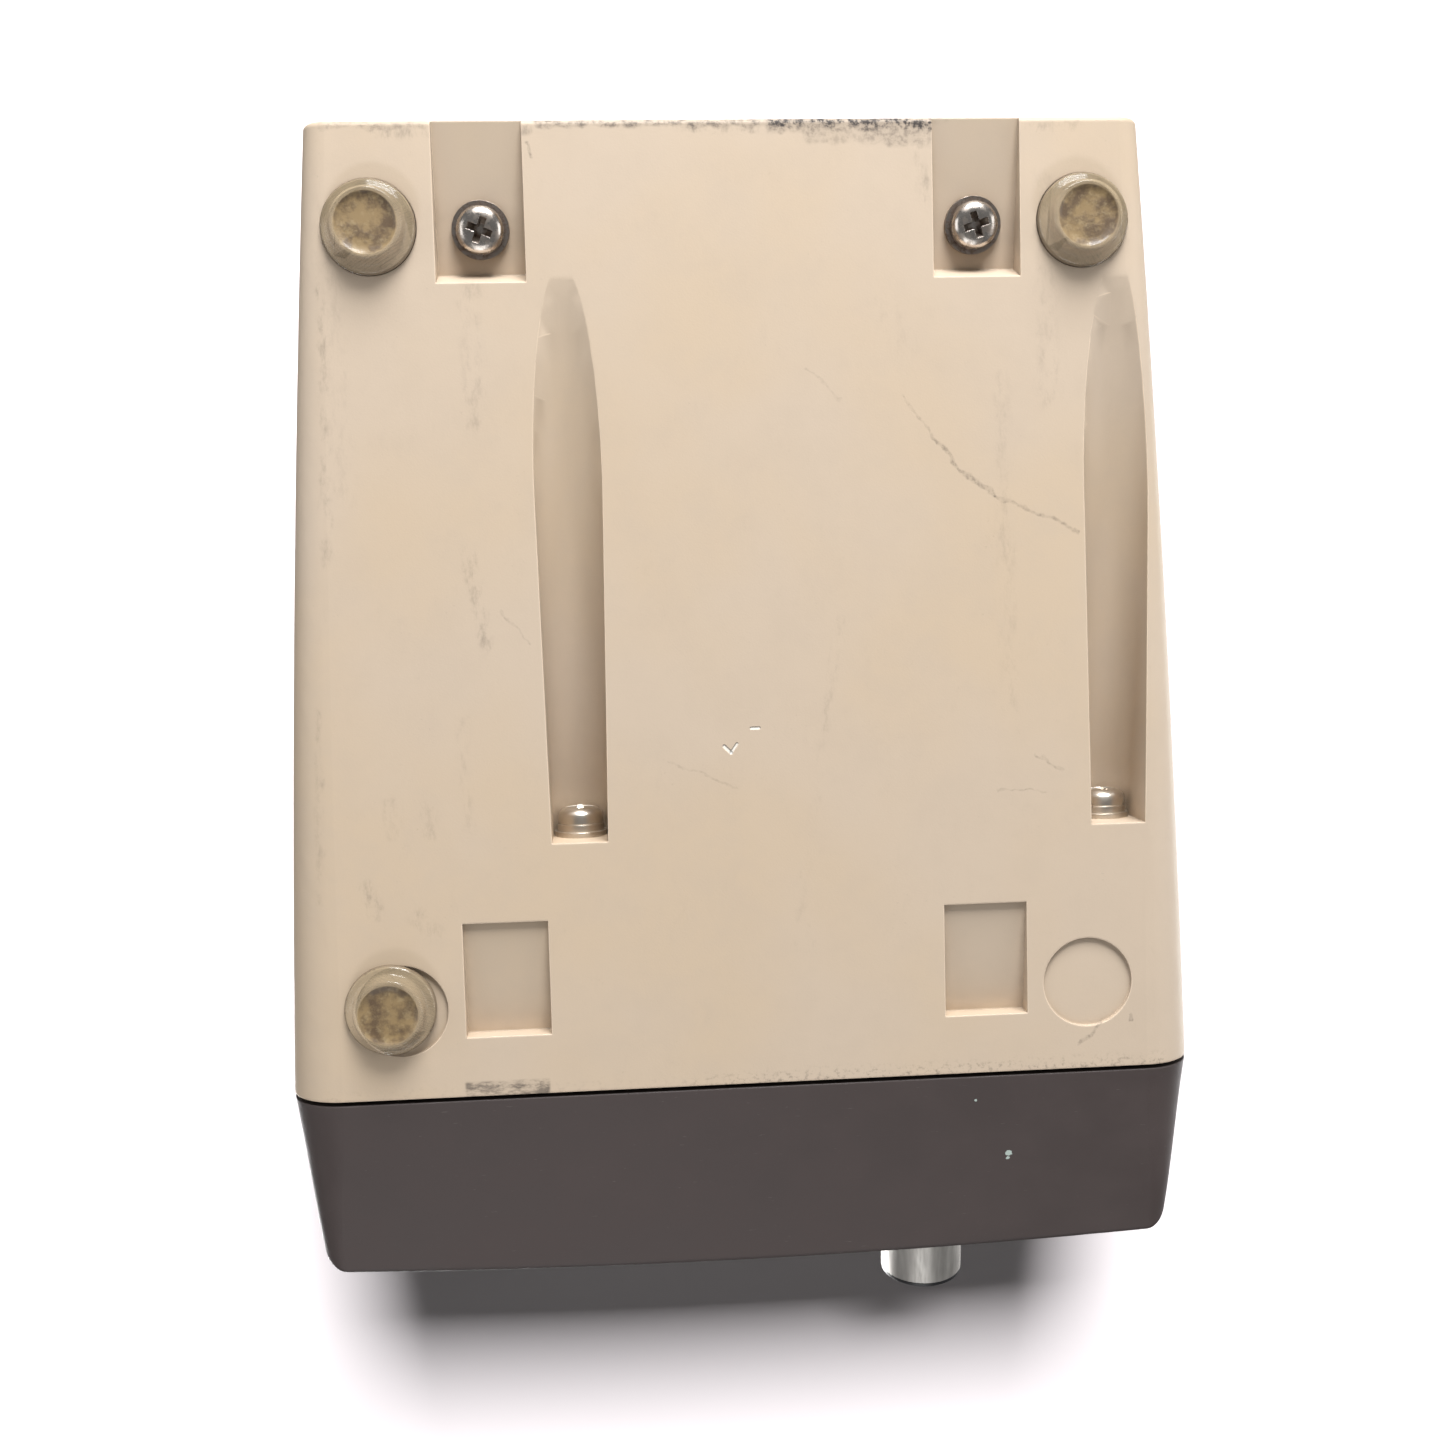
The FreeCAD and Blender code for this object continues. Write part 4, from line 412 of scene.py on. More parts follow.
def foot_shadows(finish, point):
    """The darker ovals painted behind each foot, from 0 to 1."""
    z, flat = finish.flatten(point)[2:]
    total = 0.0
    for foot in FEET:
        centre = middle(foot)
        spot = (centre.x / MM * 0.985, centre.y / MM + 2.6, 0.0)
        total = finish.rise(finish.distance(flat, spot), 7.2, 6.0) + total
    return total * finish.rise(z, *UNDERSIDE_BAND)


# ---------------------------------------------------------------- finishes


def housing_plastic(name):
    """Aged beige moulding: fine grain, yellowed patches, scuffs below, grime with painted shade in the corners and a
    painted highlight with wear on outside edges.
    """
    sizes, colours, _ = settings()
    finish = Finish(name, Specular_Ior_Level=0.42)
    point = finish.place()
    dirt, cuts = underside_wear(finish, point)
    aged = finish.rise(finish.noise(point, 45.0, 3.0), 0.38, 0.64)
    blotch = finish.rise(finish.noise(point, 7.0, 5.0, 0.65), 0.40, 0.70)
    grain = finish.noise(point, 0.30, 3.0, 0.6)
    corner = finish.corners(2.2 * MM)
    edge = finish.worn_edges(0.35 * MM, corner)

    shade = finish.mix(tuple(colours.housing), tuple(colours.housing_aged), aged * 0.7)
    shade = finish.mix(shade, tuple(c * 0.93 for c in colours.housing), blotch * 0.35)
    shade = finish.mix(shade, tuple(c * 0.80 for c in colours.housing_aged), foot_shadows(finish, point) * 0.42)
    # Painted shade with brown grime: darker in the corners that ambient occlusion finds.
    shade = finish.mix(shade, (0.26, 0.185, 0.115), corner * colours.grime * (blotch * 0.5 + 0.35))
    # Painted highlight with wear: a lighter beige along the outside edges.
    shade = finish.mix(shade, tuple(min(0.9, c * 1.6) for c in colours.housing), edge * 0.9)
    shade = finish.mix(shade, (0.83, 0.80, 0.74), cuts * 0.75)
    shade = finish.mix(shade, tuple(colours.dirt), dirt * colours.wear * 0.82)
    finish.drive("Base Color", shade)
    finish.drive("Roughness", finish.rise(grain, 0.2, 0.8, 0.46, 0.58) + dirt * 0.12)
    finish.relief(grain - cuts * 14.0, sizes.grain_depth, sizes.edge_softness)
    return finish.material


# Chips and specks on the bezel's underside: place, radius, in millimetres.
PALE_CHIPS = [((-40.0, -64.0), 0.55), ((-39.9, -64.9), 0.40), ((-34.6, -54.9), 0.25)]


def bezel_plastic(name):
    """Dark grey moulding with a close grain, pale chips, a few light specks and painted shade in its corners."""
    sizes, colours, _ = settings()
    finish = Finish(name, Specular_Ior_Level=0.40)
    point = finish.place()
    grain = finish.noise(point, 0.26, 3.0, 0.6)
    cloud = finish.rise(finish.noise(point, 12.0, 4.0), 0.35, 0.70)
    dusty = finish.rise(finish.noise(point, 0.5, 4.0, 0.7), 0.69, 0.76) * cloud
    scrape = finish.rise(finish.noise(finish.place((0.25, 1.6, 1.0)), 0.5, 2.0), 0.71, 0.78)
    corner = finish.corners(1.5 * MM)
    shade = finish.mix(tuple(colours.bezel), tuple(c * 1.22 for c in colours.bezel), cloud * 0.6)
    shade = finish.mix(shade, (0.26, 0.24, 0.22), dusty * 0.35 + scrape * 0.15)
    # Painted shade: near black in the corners.
    shade = finish.mix(shade, (0.02, 0.017, 0.015), corner * 0.6)
    z, flat = finish.flatten(point)[2:]
    below = finish.rise(z, 14.0, 12.0)
    for place, radius in PALE_CHIPS:
        ragged = finish.distance(flat, (*place, 0.0)) + (finish.noise(point, 0.6, 3.0) - 0.5) * radius * 2.0
        shade = finish.mix(shade, (0.42, 0.50, 0.46), finish.rise(ragged, radius, radius * 0.7) * below)
    finish.drive("Base Color", shade)
    finish.drive("Roughness", finish.rise(cloud, 0.0, 1.0, 0.50, 0.60) + dusty * 0.1)
    finish.relief(grain, sizes.grain_depth, sizes.edge_softness)
    return finish.material


def foot_rubber(name):
    """Clear yellowed rubber: see-through sides, a grimy contact face, a dark line round its base and painted shade
    in its corners.
    """
    _, colours, _ = settings()
    finish = Finish(name, IOR=1.47, Coat_Weight=0.25, Coat_Roughness=0.15)
    point = finish.place()
    z, flat = finish.flatten(point)[2:]
    inside = outline = 0.0
    for foot in FEET:
        centre = middle(foot)
        away = finish.distance(flat, (centre.x / MM, centre.y / MM, 0.0))
        inside = finish.rise(away, 4.75, 4.25) + inside
        outline = finish.rise(away, 6.45, 6.70) * finish.rise(away, 7.2, 6.9) + outline
    face = inside * finish.rise(z, 1.1, 0.8)
    mottled = finish.rise(finish.noise(point, 3.2, 5.0, 0.62), 0.40, 0.62)
    fine = finish.rise(finish.noise(point, 0.9, 5.0, 0.62), 0.50, 0.70)
    cloud = finish.rise(finish.noise(point, 3.0, 4.0), 0.3, 0.75)
    rim_dirt = finish.rise(finish.noise(point, 1.6, 5.0, 0.7), 0.56, 0.66)
    corner = finish.corners(0.9 * MM)

    clear = finish.mix(tuple(colours.rubber), tuple(c * 0.80 for c in colours.rubber), cloud)
    # Dirt on the rim, the dark line round the base, and painted shade in the corners, which also makes the rubber
    # more opaque there.
    clear = finish.mix(clear, (0.11, 0.08, 0.055), rim_dirt * 0.25 + corner * 0.6 + outline * 0.8)
    ground_in = finish.mix((0.27, 0.185, 0.085), (0.080, 0.048, 0.026), mottled * 0.9)
    ground_in = finish.mix(ground_in, (0.40, 0.31, 0.17), fine * 0.35)
    finish.drive("Base Color", finish.mix(clear, ground_in, face))
    finish.drive("Alpha", face * 0.56 + corner * 0.25 + outline * 0.5 + rim_dirt * 0.12 + 0.28)
    finish.drive("Roughness", face * 0.38 + 0.14)
    finish.relief(mottled * face + cloud * 0.3, 0.05 * MM, 0.10 * MM)
    return finish.material


def metal(name, shade, tarnish, rough=(0.22, 0.42), blot=2.0, amount=0.5, stretch=(1.0, 1.0, 1.0),
          depth=0.004 * MM, corner_dirt=0.6, softness=0.10 * MM):
    """Bare or plated metal: tarnished blots, fine tool marks, and dirt where parts meet."""
    finish = Finish(name, Metallic=1.0)
    point = finish.place()
    blots = finish.rise(finish.noise(point, blot, 5.0, 0.65), 0.42, 0.68)
    lines = finish.noise(finish.place(stretch), 0.22, 3.0, 0.6)
    corner = finish.corners(0.9 * MM)
    mixed = finish.mix(shade, tarnish, blots * amount + corner * corner_dirt)
    finish.drive("Base Color", mixed)
    finish.drive("Roughness", finish.rise(blots, 0.0, 1.0, *rough) + lines * 0.06 + corner * 0.15)
    finish.relief(lines, depth, softness)
    return finish.material


def plastic(name, shade=None, rough=(0.38, 0.50), blot=6.0, depth=0.008 * MM, grain=0.30, stretch=(1.0, 1.0, 1.0),
            softness=0.20 * MM, **constants):
    """Moulded plastic, paint or rubber sleeve: slight clouds, a fine grain, a little dust and painted shade in
    corners.
    """
    shade = tuple(shade or RECORD_COLOURS[name])
    finish = Finish(name, **constants)
    point = finish.place()
    clouds = finish.rise(finish.noise(point, blot, 4.0), 0.35, 0.70)
    fine = finish.noise(finish.place(stretch), grain, 3.0, 0.6)
    dust = finish.rise(finish.noise(point, 0.7, 4.0, 0.7), 0.66, 0.76)
    corner = finish.corners(1.0 * MM)
    mixed = finish.mix(shade, tuple(c * 0.86 for c in shade), clouds)
    mixed = finish.mix(mixed, tuple(0.75 * c + 0.06 for c in shade), dust * 0.35)
    # Painted shade: a darker copy of the colour in the corners.
    mixed = finish.mix(mixed, tuple(c * 0.35 for c in shade), corner * 0.5)
    finish.drive("Base Color", mixed)
    finish.drive("Roughness", finish.rise(clouds, 0.0, 1.0, *rough) + dust * 0.1)
    finish.relief(fine, depth, softness)
    return finish.material


def knob_aluminium(name):
    """Aluminium drawn lengthwise, so its streaks run along the knob, with painted shade in its corners."""
    finish = Finish(name, Metallic=1.0)
    streaks = finish.noise(finish.place((1.0, 0.02, 1.0)), 0.35, 4.0, 0.6)
    broad = finish.rise(finish.noise(finish.place((1.0, 0.05, 1.0)), 2.2, 2.0), 0.35, 0.65)
    corner = finish.corners(0.8 * MM)
    # Broad drawn streaks, and painted shade where the corners darken the metal.
    mixed = finish.mix((0.56, 0.54, 0.51), (0.36, 0.34, 0.32), broad * 0.7 + corner * 0.5)
    finish.drive("Base Color", mixed)
    finish.drive("Roughness", finish.rise(streaks, 0.3, 0.7, 0.42, 0.56))
    finish.relief(streaks, 0.003 * MM, 0.15 * MM)
    return finish.material


def core_steel(name):
    """Varnished laminations: a dark line between every two sheets of the stack."""
    finish = Finish(name, Metallic=0.7)
    point = finish.place()
    y = finish.node("ShaderNodeSeparateXYZ", {}, [point], 1)
    wave = (y * (2 * math.pi / 0.5)).calculate("SINE")
    groove = finish.rise(wave, 0.55, 0.95)
    varnish = finish.rise(finish.noise(point, 5.0, 4.0), 0.4, 0.7)
    shade = finish.mix((0.30, 0.28, 0.26), (0.20, 0.13, 0.06), varnish)
    finish.drive("Base Color", finish.mix(shade, (0.03, 0.025, 0.02), groove * 0.7))
    finish.drive("Roughness", finish.rise(varnish, 0.0, 1.0, 0.45, 0.28))
    finish.relief(1.0 - groove, 0.05 * MM)
    return finish.material


def winding_copper(name):
    """Copper layers under yellow tape, with the tape's wraps showing as ridges."""
    finish = Finish(name, Roughness=0.42, Coat_Weight=0.3)
    point = finish.place()
    z = finish.node("ShaderNodeSeparateXYZ", {}, [point], 2)
    turns = (z * (2 * math.pi / 0.8)).calculate("SINE") * 0.5 + 0.5
    crease = finish.rise(finish.noise(point, 3.0, 4.0), 0.5, 0.7)
    shade = finish.mix((0.62, 0.42, 0.08), (0.48, 0.24, 0.06), turns * 0.4 + crease * 0.4)
    finish.drive("Base Color", shade)
    finish.relief(turns, 0.08 * MM)
    return finish.material


def board_laminate(name):
    """Green solder mask over copper tracks, with bright pads."""
    finish = Finish(name, Coat_Weight=0.4)
    point = finish.place()
    cells = finish.node("ShaderNodeTexVoronoi", {"distance": "MANHATTAN", "feature": "F1"},
                        {"Vector": point, "Scale": 0.28}, "Distance")
    tracks = finish.rise((cells * 21.0).calculate("SINE"), -0.1, 0.25)
    pads = finish.rise(cells, 0.11, 0.08)
    shade = finish.mix((0.015, 0.10, 0.045), (0.05, 0.24, 0.10), tracks)
    shade = finish.mix(shade, (0.72, 0.72, 0.70), pads)
    finish.drive("Base Color", shade)
    finish.drive("Roughness", finish.rise(tracks, 0.0, 1.0, 0.45, 0.32))
    finish.relief(tracks + pads, 0.03 * MM)
    return finish.material


def fuse_glass(name):
    """Glass tube with plated ends."""
    finish = Finish(name, Roughness=0.06, Transmission_Weight=0.8, IOR=1.5)
    point = finish.place()
    ends = finish.rise(finish.noise(point, 2.0, 3.0), 0.3, 0.8)
    finish.drive("Base Color", finish.mix((0.86, 0.88, 0.88), (0.70, 0.72, 0.70), ends))
    finish.relief(ends, 0.01 * MM)
    return finish.material


def lens_finish(name, shade, depth, **constants):
    """Moulded lens or filter: clear gloss with a faint pattern of fine prisms inside."""
    finish = Finish(name, Roughness=0.10, Coat_Weight=0.6, Coat_Roughness=0.05, **constants)
    point = finish.place()
    prisms = finish.node("ShaderNodeTexVoronoi", {"feature": "F1"}, {"Vector": point, "Scale": 1.6}, "Distance")
    smears = finish.rise(finish.noise(point, 5.0, 4.0), 0.45, 0.75)
    mixed = finish.mix(shade, tuple(c * 0.55 for c in shade), prisms)
    finish.drive("Base Color", finish.mix(mixed, tuple(0.8 * c + 0.02 for c in shade), smears))
    finish.relief(prisms, depth)
    return finish.material


def panel_sheet(name):
    """Satin paint on brushed sheet: level brush lines, light handling marks."""
    _, colours, _ = settings()
    return plastic(name, tuple(colours.panel), rough=(0.34, 0.46), blot=14.0, depth=0.006 * MM, grain=0.25,
                   stretch=(0.04, 1.0, 1.0), softness=0.15 * MM, Metallic=0.35)


def zinc_sheet(name):
    """Zinc-plated sheet with its spangle."""
    finish = Finish(name, Metallic=1.0)
    point = finish.place()
    flakes = finish.node("ShaderNodeTexVoronoi", {"feature": "F1"}, {"Vector": point, "Scale": 0.22}, "Color")
    tone = finish.node("ShaderNodeSeparateColor", {}, [flakes], 0)
    finish.drive("Base Color", finish.mix((0.62, 0.63, 0.63), (0.48, 0.49, 0.47), tone))
    finish.drive("Roughness", finish.rise(tone, 0.0, 1.0, 0.28, 0.50))
    finish.relief(finish.noise(point, 0.5, 3.0), 0.006 * MM, 0.15 * MM)
    return finish.material


def steel_screws(name):
    return metal(name, (0.56, 0.52, 0.48), (0.24, 0.17, 0.12), rough=(0.20, 0.38), blot=1.8, amount=0.55)


def bright_steel(name):
    """Nickel-plated steel that has kept its satin."""
    return metal(name, (0.70, 0.65, 0.58), (0.46, 0.38, 0.30), rough=(0.26, 0.40), blot=2.5, amount=0.25,
                 corner_dirt=0.35, softness=0.15 * MM)


def dull_washers(name):
    return metal(name, (0.40, 0.35, 0.31), (0.16, 0.11, 0.085), rough=(0.30, 0.50), blot=1.2, amount=0.8)


FINISHES = {
    "housing_plastic": housing_plastic,
    "bezel_plastic": bezel_plastic,
    "panel_sheet": panel_sheet,
    "foot_rubber": foot_rubber,
    "screw_steel": steel_screws,
    "washer_steel": dull_washers,
    "bright_steel": bright_steel,
    "knob_aluminium": knob_aluminium,
    "black_plastic": lambda name: plastic(name, rough=(0.30, 0.44), depth=0.006 * MM),
    "shaft_steel": lambda name: metal(name, (0.60, 0.60, 0.60), (0.38, 0.36, 0.33), stretch=(1.0, 0.1, 1.0)),
    "zinc_sheet": zinc_sheet,
    "core_steel": core_steel,
    "bobbin_plastic": lambda name: plastic(name, rough=(0.42, 0.55)),
    "winding_copper": winding_copper,
    "board_laminate": board_laminate,
    "brass_metal": lambda name: metal(name, (0.78, 0.62, 0.34), (0.42, 0.29, 0.13), rough=(0.2, 0.4)),
    "chrome_metal": lambda name: metal(name, (0.78, 0.78, 0.79), (0.55, 0.54, 0.52), rough=(0.06, 0.20),
                                       amount=0.3, depth=0.002 * MM),
    "sink_aluminium": lambda name: metal(name, (0.07, 0.07, 0.075), (0.14, 0.14, 0.14), stretch=(1.0, 1.0, 0.06)),
    "can_sleeve": lambda name: plastic(name, rough=(0.12, 0.22), Coat_Weight=0.4),
    "relay_plastic": lambda name: plastic(name, rough=(0.16, 0.26), Coat_Weight=0.3),
    "header_plastic": lambda name: plastic(name, rough=(0.36, 0.48)),
    "fuse_glass": fuse_glass,
    "window_acrylic": lambda name: lens_finish(name, (0.055, 0.006, 0.006), 0.002 * MM, Alpha=0.72),
    "lamp_lens": lambda name: lens_finish(name, (0.04, 0.38, 0.08), 0.06 * MM),
    "print_ink": lambda name: plastic(name, (0.035, 0.035, 0.038), rough=(0.45, 0.6), blot=3.0, depth=0.002 * MM),
    "print_white": lambda name: plastic(name, (0.72, 0.72, 0.69), rough=(0.45, 0.6), blot=3.0, depth=0.002 * MM),
    "segment_red": lambda name: plastic(name, (0.42, 0.045, 0.030), rough=(0.30, 0.4), blot=3.0,
                                        depth=0.002 * MM),
    "button_plastic": lambda name: plastic(name, rough=(0.30, 0.42)),
    "spacer_brass": lambda name: metal(name, (0.74, 0.58, 0.32), (0.40, 0.28, 0.14)),
}


def finish_of(slot):
    """The material of a slot or a print colour, made the first time that it is asked for."""
    name = "finish_" + slot
    if name not in bpy.data.materials:
        made = FINISHES[slot](slot)
        made.name = name
    return bpy.data.materials[name]


# ---------------------------------------------------------------- modelling helpers


def start_fresh():
    """Leaves edit mode and selects nothing."""
    if bpy.context.object and bpy.context.object.mode != "OBJECT":
        bpy.ops.object.mode_set(mode="OBJECT")
    bpy.ops.object.select_all(action="DESELECT")


def take_up(piece):
    """Makes a piece the active one and the only one selected."""
    start_fresh()
    piece.select_set(True)
    bpy.context.view_layer.objects.active = piece


def edit_all():
    """Opens the active piece in edit mode with all its faces selected."""
    bpy.ops.object.mode_set(mode="EDIT")
    bpy.ops.mesh.select_mode(type="FACE")
    bpy.ops.mesh.select_all(action="SELECT")


def draw_out(distance):
    """Extrudes the selected faces along Z."""
    bpy.ops.mesh.extrude_region_move(TRANSFORM_OT_translate={"value": (0.0, 0.0, distance)})


def squeeze(across, along, height):
    """Scales the selected faces about the Z axis, at a height."""
    bpy.ops.transform.resize(value=(across, along, 1.0), center_override=(0.0, 0.0, height))


def close_edit():
    """Turns all faces outwards and leaves edit mode."""
    bpy.ops.mesh.select_all(action="SELECT")
    bpy.ops.mesh.normals_make_consistent(inside=False)
    bpy.ops.object.mode_set(mode="OBJECT")


def turn_up(name, rings, sides=72):
    """A round piece about Z, drawn up ring by ring in edit mode. rings holds (radius, height)."""
    start_fresh()
    radius, height = rings[0]
    bpy.ops.mesh.primitive_circle_add(vertices=sides, radius=radius, location=(0.0, 0.0, height),
                                      fill_type="NGON")
    piece = bpy.context.object
    piece.name = name
    bpy.ops.object.transform_apply(location=True, rotation=True, scale=True)
    edit_all()
    for next_radius, next_height in rings[1:]:
        draw_out(next_height - height)
        factor = next_radius / radius
        squeeze(factor, factor, next_height)
        radius, height = next_radius, next_height
    close_edit()
    return piece


def join_all(pieces):
    """Joins pieces into the first one."""
    start_fresh()
    for piece in pieces:
        piece.select_set(True)
    bpy.context.view_layer.objects.active = pieces[0]
    bpy.ops.object.join()
    return pieces[0]


def again(piece, matrix):
    """A copy of a piece, with its own mesh, at another place."""
    extra = piece.copy()
    extra.data = piece.data.copy()
    extra.matrix_world = matrix
    bpy.context.scene.collection.objects.link(extra)
    return extra


def printed_bar(name, width, height, thickness, turn_corner):
    """A thin flat bar about the origin with rounded corners, standing thickness above Z = 0."""
    start_fresh()
    bpy.ops.mesh.primitive_plane_add(size=1.0)
    piece = bpy.context.object
    piece.name = name
    edit_all()
    squeeze(width, height, 0.0)
    bpy.ops.mesh.bevel(offset=turn_corner, segments=4, affect="VERTICES")
    bpy.ops.mesh.select_all(action="SELECT")
    draw_out(thickness)
    close_edit()
    return piece


def printed_text(name, text, size, thickness):
    """A number or sign drawn flat about the origin, standing thickness above Z = 0."""
    start_fresh()
    bpy.ops.object.text_add()
    piece = bpy.context.object
    piece.name = name
    piece.data.body = text
    piece.data.size = size
    piece.data.align_x = "CENTER"
    piece.data.align_y = "CENTER"
    piece.data.extrude = thickness / 2
    bpy.ops.object.convert(target="MESH")
    edit_all()
    bpy.ops.transform.translate(value=(0.0, 0.0, thickness / 2))
    bpy.ops.object.mode_set(mode="OBJECT")
    return piece


def settle(piece, node, slot, replaced=(), angle=30.0, finish=None):
    """Smooths a finished piece, gives it its finish and ties it to the body of a CAD node."""
    take_up(piece)
    bpy.ops.object.transform_apply(location=True, rotation=True, scale=True)
    bpy.ops.object.shade_smooth_by_angle(angle=math.radians(angle))
    piece.data.materials.clear()
    piece.data.materials.append(finish_of(finish or slot))
    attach(piece, BODY_OF_NODE[node])
    if replaced:
        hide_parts(*replaced)
    return piece


# ---------------------------------------------------------------- pieces


# These washers sit in the channels and have stayed clean.
BRIGHT_NODES = {"bezel_flat_washers": "bright_steel", "bezel_spring_washers": "bright_steel"}


class UNIT_OT_finishes(bpy.types.Operator):
    """Give every CAD node the detailed finish of its slot"""

    bl_idname = "control_unit.finishes"
    bl_label = "Finish the CAD nodes"

    def execute(self, context):
        for node, piece in frame["nodes"].items():
            piece.data.materials.clear()
            piece.data.materials.append(finish_of(BRIGHT_NODES.get(node, SLOT_OF_NODE[node])))
        return {"FINISHED"}


class UNIT_OT_feet(bpy.types.Operator):
    """Model the clear rubber feet with their stepped sides and dished contact faces"""

    bl_idname = "control_unit.feet"
    bl_label = "Rubber feet"

    def execute(self, context):
        sizes = context.scene.unit_sizes
        for foot in FEET:
            low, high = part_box(foot)
            base = (high.x - low.x) / 2
            top = base * 0.735
            rim, dish = sizes.foot_rim, sizes.foot_dish
            rings = [
                (base - 0.25 * MM, high.z),
                (base, high.z - 0.20 * MM),
                (base, UNDERSIDE - 0.55 * MM),
                (base - 0.12 * MM, UNDERSIDE - 0.85 * MM),
                (base - 0.45 * MM, UNDERSIDE - 1.05 * MM),
                (top + 0.75 * MM, UNDERSIDE - 1.15 * MM),
                (top + 0.45 * MM, UNDERSIDE - 1.35 * MM),
                (top + 0.25 * MM, 0.50 * MM),
                (top + 0.12 * MM, 0.18 * MM),
                (top - 0.10 * MM, 0.03 * MM),
                (top - 0.25 * MM, 0.0),
                (top - rim, 0.0),
                (top - rim - 0.15 * MM, 0.08 * MM),
                (top - rim - 0.40 * MM, dish * 0.75),
                (top * 0.62, dish),
                (top * 0.30, dish * 1.08),
                (top * 0.04, dish * 1.10),
            ]
            piece = turn_up("clear_" + foot, rings)
            centre = (low + high) / 2
            piece.location = (centre.x, centre.y, 0.0)
            settle(piece, foot, "foot_rubber", [foot], angle=50.0)
        return {"FINISHED"}


def pan_head_screw(name, head, height, thread, length, pitch):
    """A pan head screw standing on its point at Z = -length, its head from Z = 0 to height, with a
    tapered cross recess and a ridged thread."""
    rings = [(thread * 0.45, -length), (thread * 0.78, 0.35 * thread - length)]
    level = 0.35 * thread - length
    while level + pitch < -pitch * 1.5:
        rings += [(thread, level + pitch * 0.35), (thread, level + pitch * 0.50),
                  (thread * 0.80, level + pitch * 0.85), (thread * 0.80, level + pitch)]
        level += pitch
    rings += [(thread * 0.98, level + pitch * 0.4), (thread * 0.98, 0.0)]
    rings += [(head * 0.97, 0.0), (head, height * 0.04), (head, height * 0.34), (head * 0.985, height * 0.44)]
    for step in range(1, 7):
        angle = step / 7 * math.pi / 2
        rings.append((head * 0.985 * math.cos(angle) ** 0.55, height * (0.44 + 0.56 * math.sin(angle))))
    rings.append((head * 0.05, height))
    screw = turn_up(name, rings, sides=48)

    # The recess: two tapering bars that cross, cut out of the head one after the other.
    mouth, depth = height * 1.2, height * 0.95
    long, narrow = head * 1.28, head * 0.34
    for turn, order in ((0.0, 1), (math.pi / 2, -1)):
        start_fresh()
        bpy.ops.mesh.primitive_plane_add(size=1.0, location=(0.0, 0.0, mouth), rotation=(0.0, 0.0, turn))
        bar = bpy.context.object
        bpy.ops.object.transform_apply(location=True, rotation=True, scale=True)
        edit_all()
        squeeze(*(long, narrow)[::order], mouth)
        draw_out(-depth)
        squeeze(*(0.42, 0.55)[::order], mouth - depth)
        close_edit()
        take_up(screw)
        recess = screw.modifiers.new("recess", "BOOLEAN")
        recess.operation = "DIFFERENCE"
        recess.solver = "EXACT"
        recess.object = bar
        bpy.ops.object.modifier_apply(modifier=recess.name)
        bpy.data.objects.remove(bar)
    return screw


class UNIT_OT_screws(bpy.types.Operator):
    """Model the case screws with domed heads, cross recesses and threads"""

    bl_idname = "control_unit.screws"
    bl_label = "Case screws"

    def execute(self, context):
        sizes = context.scene.unit_sizes
        lean = Vector((0.0, -math.sin(sizes.screw_lean), -math.cos(sizes.screw_lean)))
        for node, out, turn, finish in (("rear_screws", lean, 0.3, "screw_steel"),
                                        ("bezel_screws", Vector((0.0, 1.0, 0.0)), 0.0, "bright_steel")):
            place = axes_along(out)
            side, up = place.col[0].xyz, place.col[1].xyz
            middle_x = middle(node).x
            made = []
            for right in (False, True):
                def wanted(point):
                    return (point.x > middle_x) == right
                tip, top = reach(node, out, wanted)
                centre = sum(reach(node, side, wanted)) / 2 * side + sum(reach(node, up, wanted)) / 2 * up
                under_head = centre + out * (top - sizes.head_height)
                length = top - sizes.head_height - tip
                twist = Matrix.Rotation(turn + (0.9 if right and turn else 0.0), 4, "Z")
                matrix = Matrix.Translation(under_head) @ place @ twist
                if made:
                    made.append(again(made[0], matrix))
                else:
                    screw = pan_head_screw("case_" + node, sizes.head_radius, sizes.head_height,
                                           sizes.thread_radius, length, sizes.thread_pitch)
                    screw.matrix_world = matrix
                    made.append(screw)
            settle(join_all(made), node, "screw_steel", [node], angle=35.0, finish=finish)
        return {"FINISHED"}


class UNIT_OT_dial(bpy.types.Operator):
    """Print the dial round the knob: a mark for every step and a number for every second one"""

    bl_idname = "control_unit.dial"
    bl_label = "Dial"

    def execute(self, context):
        sizes = context.scene.unit_sizes
        face = axes_along(PANEL_OUT)
        surface = reach("front_panel", PANEL_OUT)[1]
        centre = PANEL_ORIGIN + PANEL_OUT * (surface - PANEL_ORIGIN.dot(PANEL_OUT))
        place = Matrix.Translation(centre) @ face
        low, high = (math.radians(limit) for limit in JOINTS["knob_turn"]["range_deg"])
        knob = reach("knob_sleeve", Vector((1.0, 0.0, 0.0)))
        gap, mark_length, number_size, number_gap = 1.8 * MM, 2.2 * MM, 3.0 * MM, 4.3 * MM
        start = (knob[1] - knob[0]) / 2 + gap
        mark = printed_bar("dial_mark", sizes.tick_width, mark_length, sizes.print_height,
                           sizes.tick_width * 0.35)
        pieces = []
        for step in range(sizes.dial_steps + 1):
            angle = high - (high - low) * step / sizes.dial_steps
            spoke = Matrix.Rotation(angle, 4, "Z")
            spot = Matrix.Translation((0.0, start + mark_length / 2, 0.0))
            pieces.append(again(mark, place @ spoke @ spot))
            if step % 2 == 0:
                number = printed_text("dial_number", str(step), number_size, sizes.print_height)
                spot = spoke @ Vector((0.0, start + number_gap, 0.0))
                number.matrix_world = place @ Matrix.Translation(spot)
                pieces.append(number)
        bpy.data.objects.remove(mark)
        dial = join_all(pieces)
        dial.name = "dial_print"
        settle(dial, "front_panel", "panel_sheet", finish="print_ink")
        return {"FINISHED"}


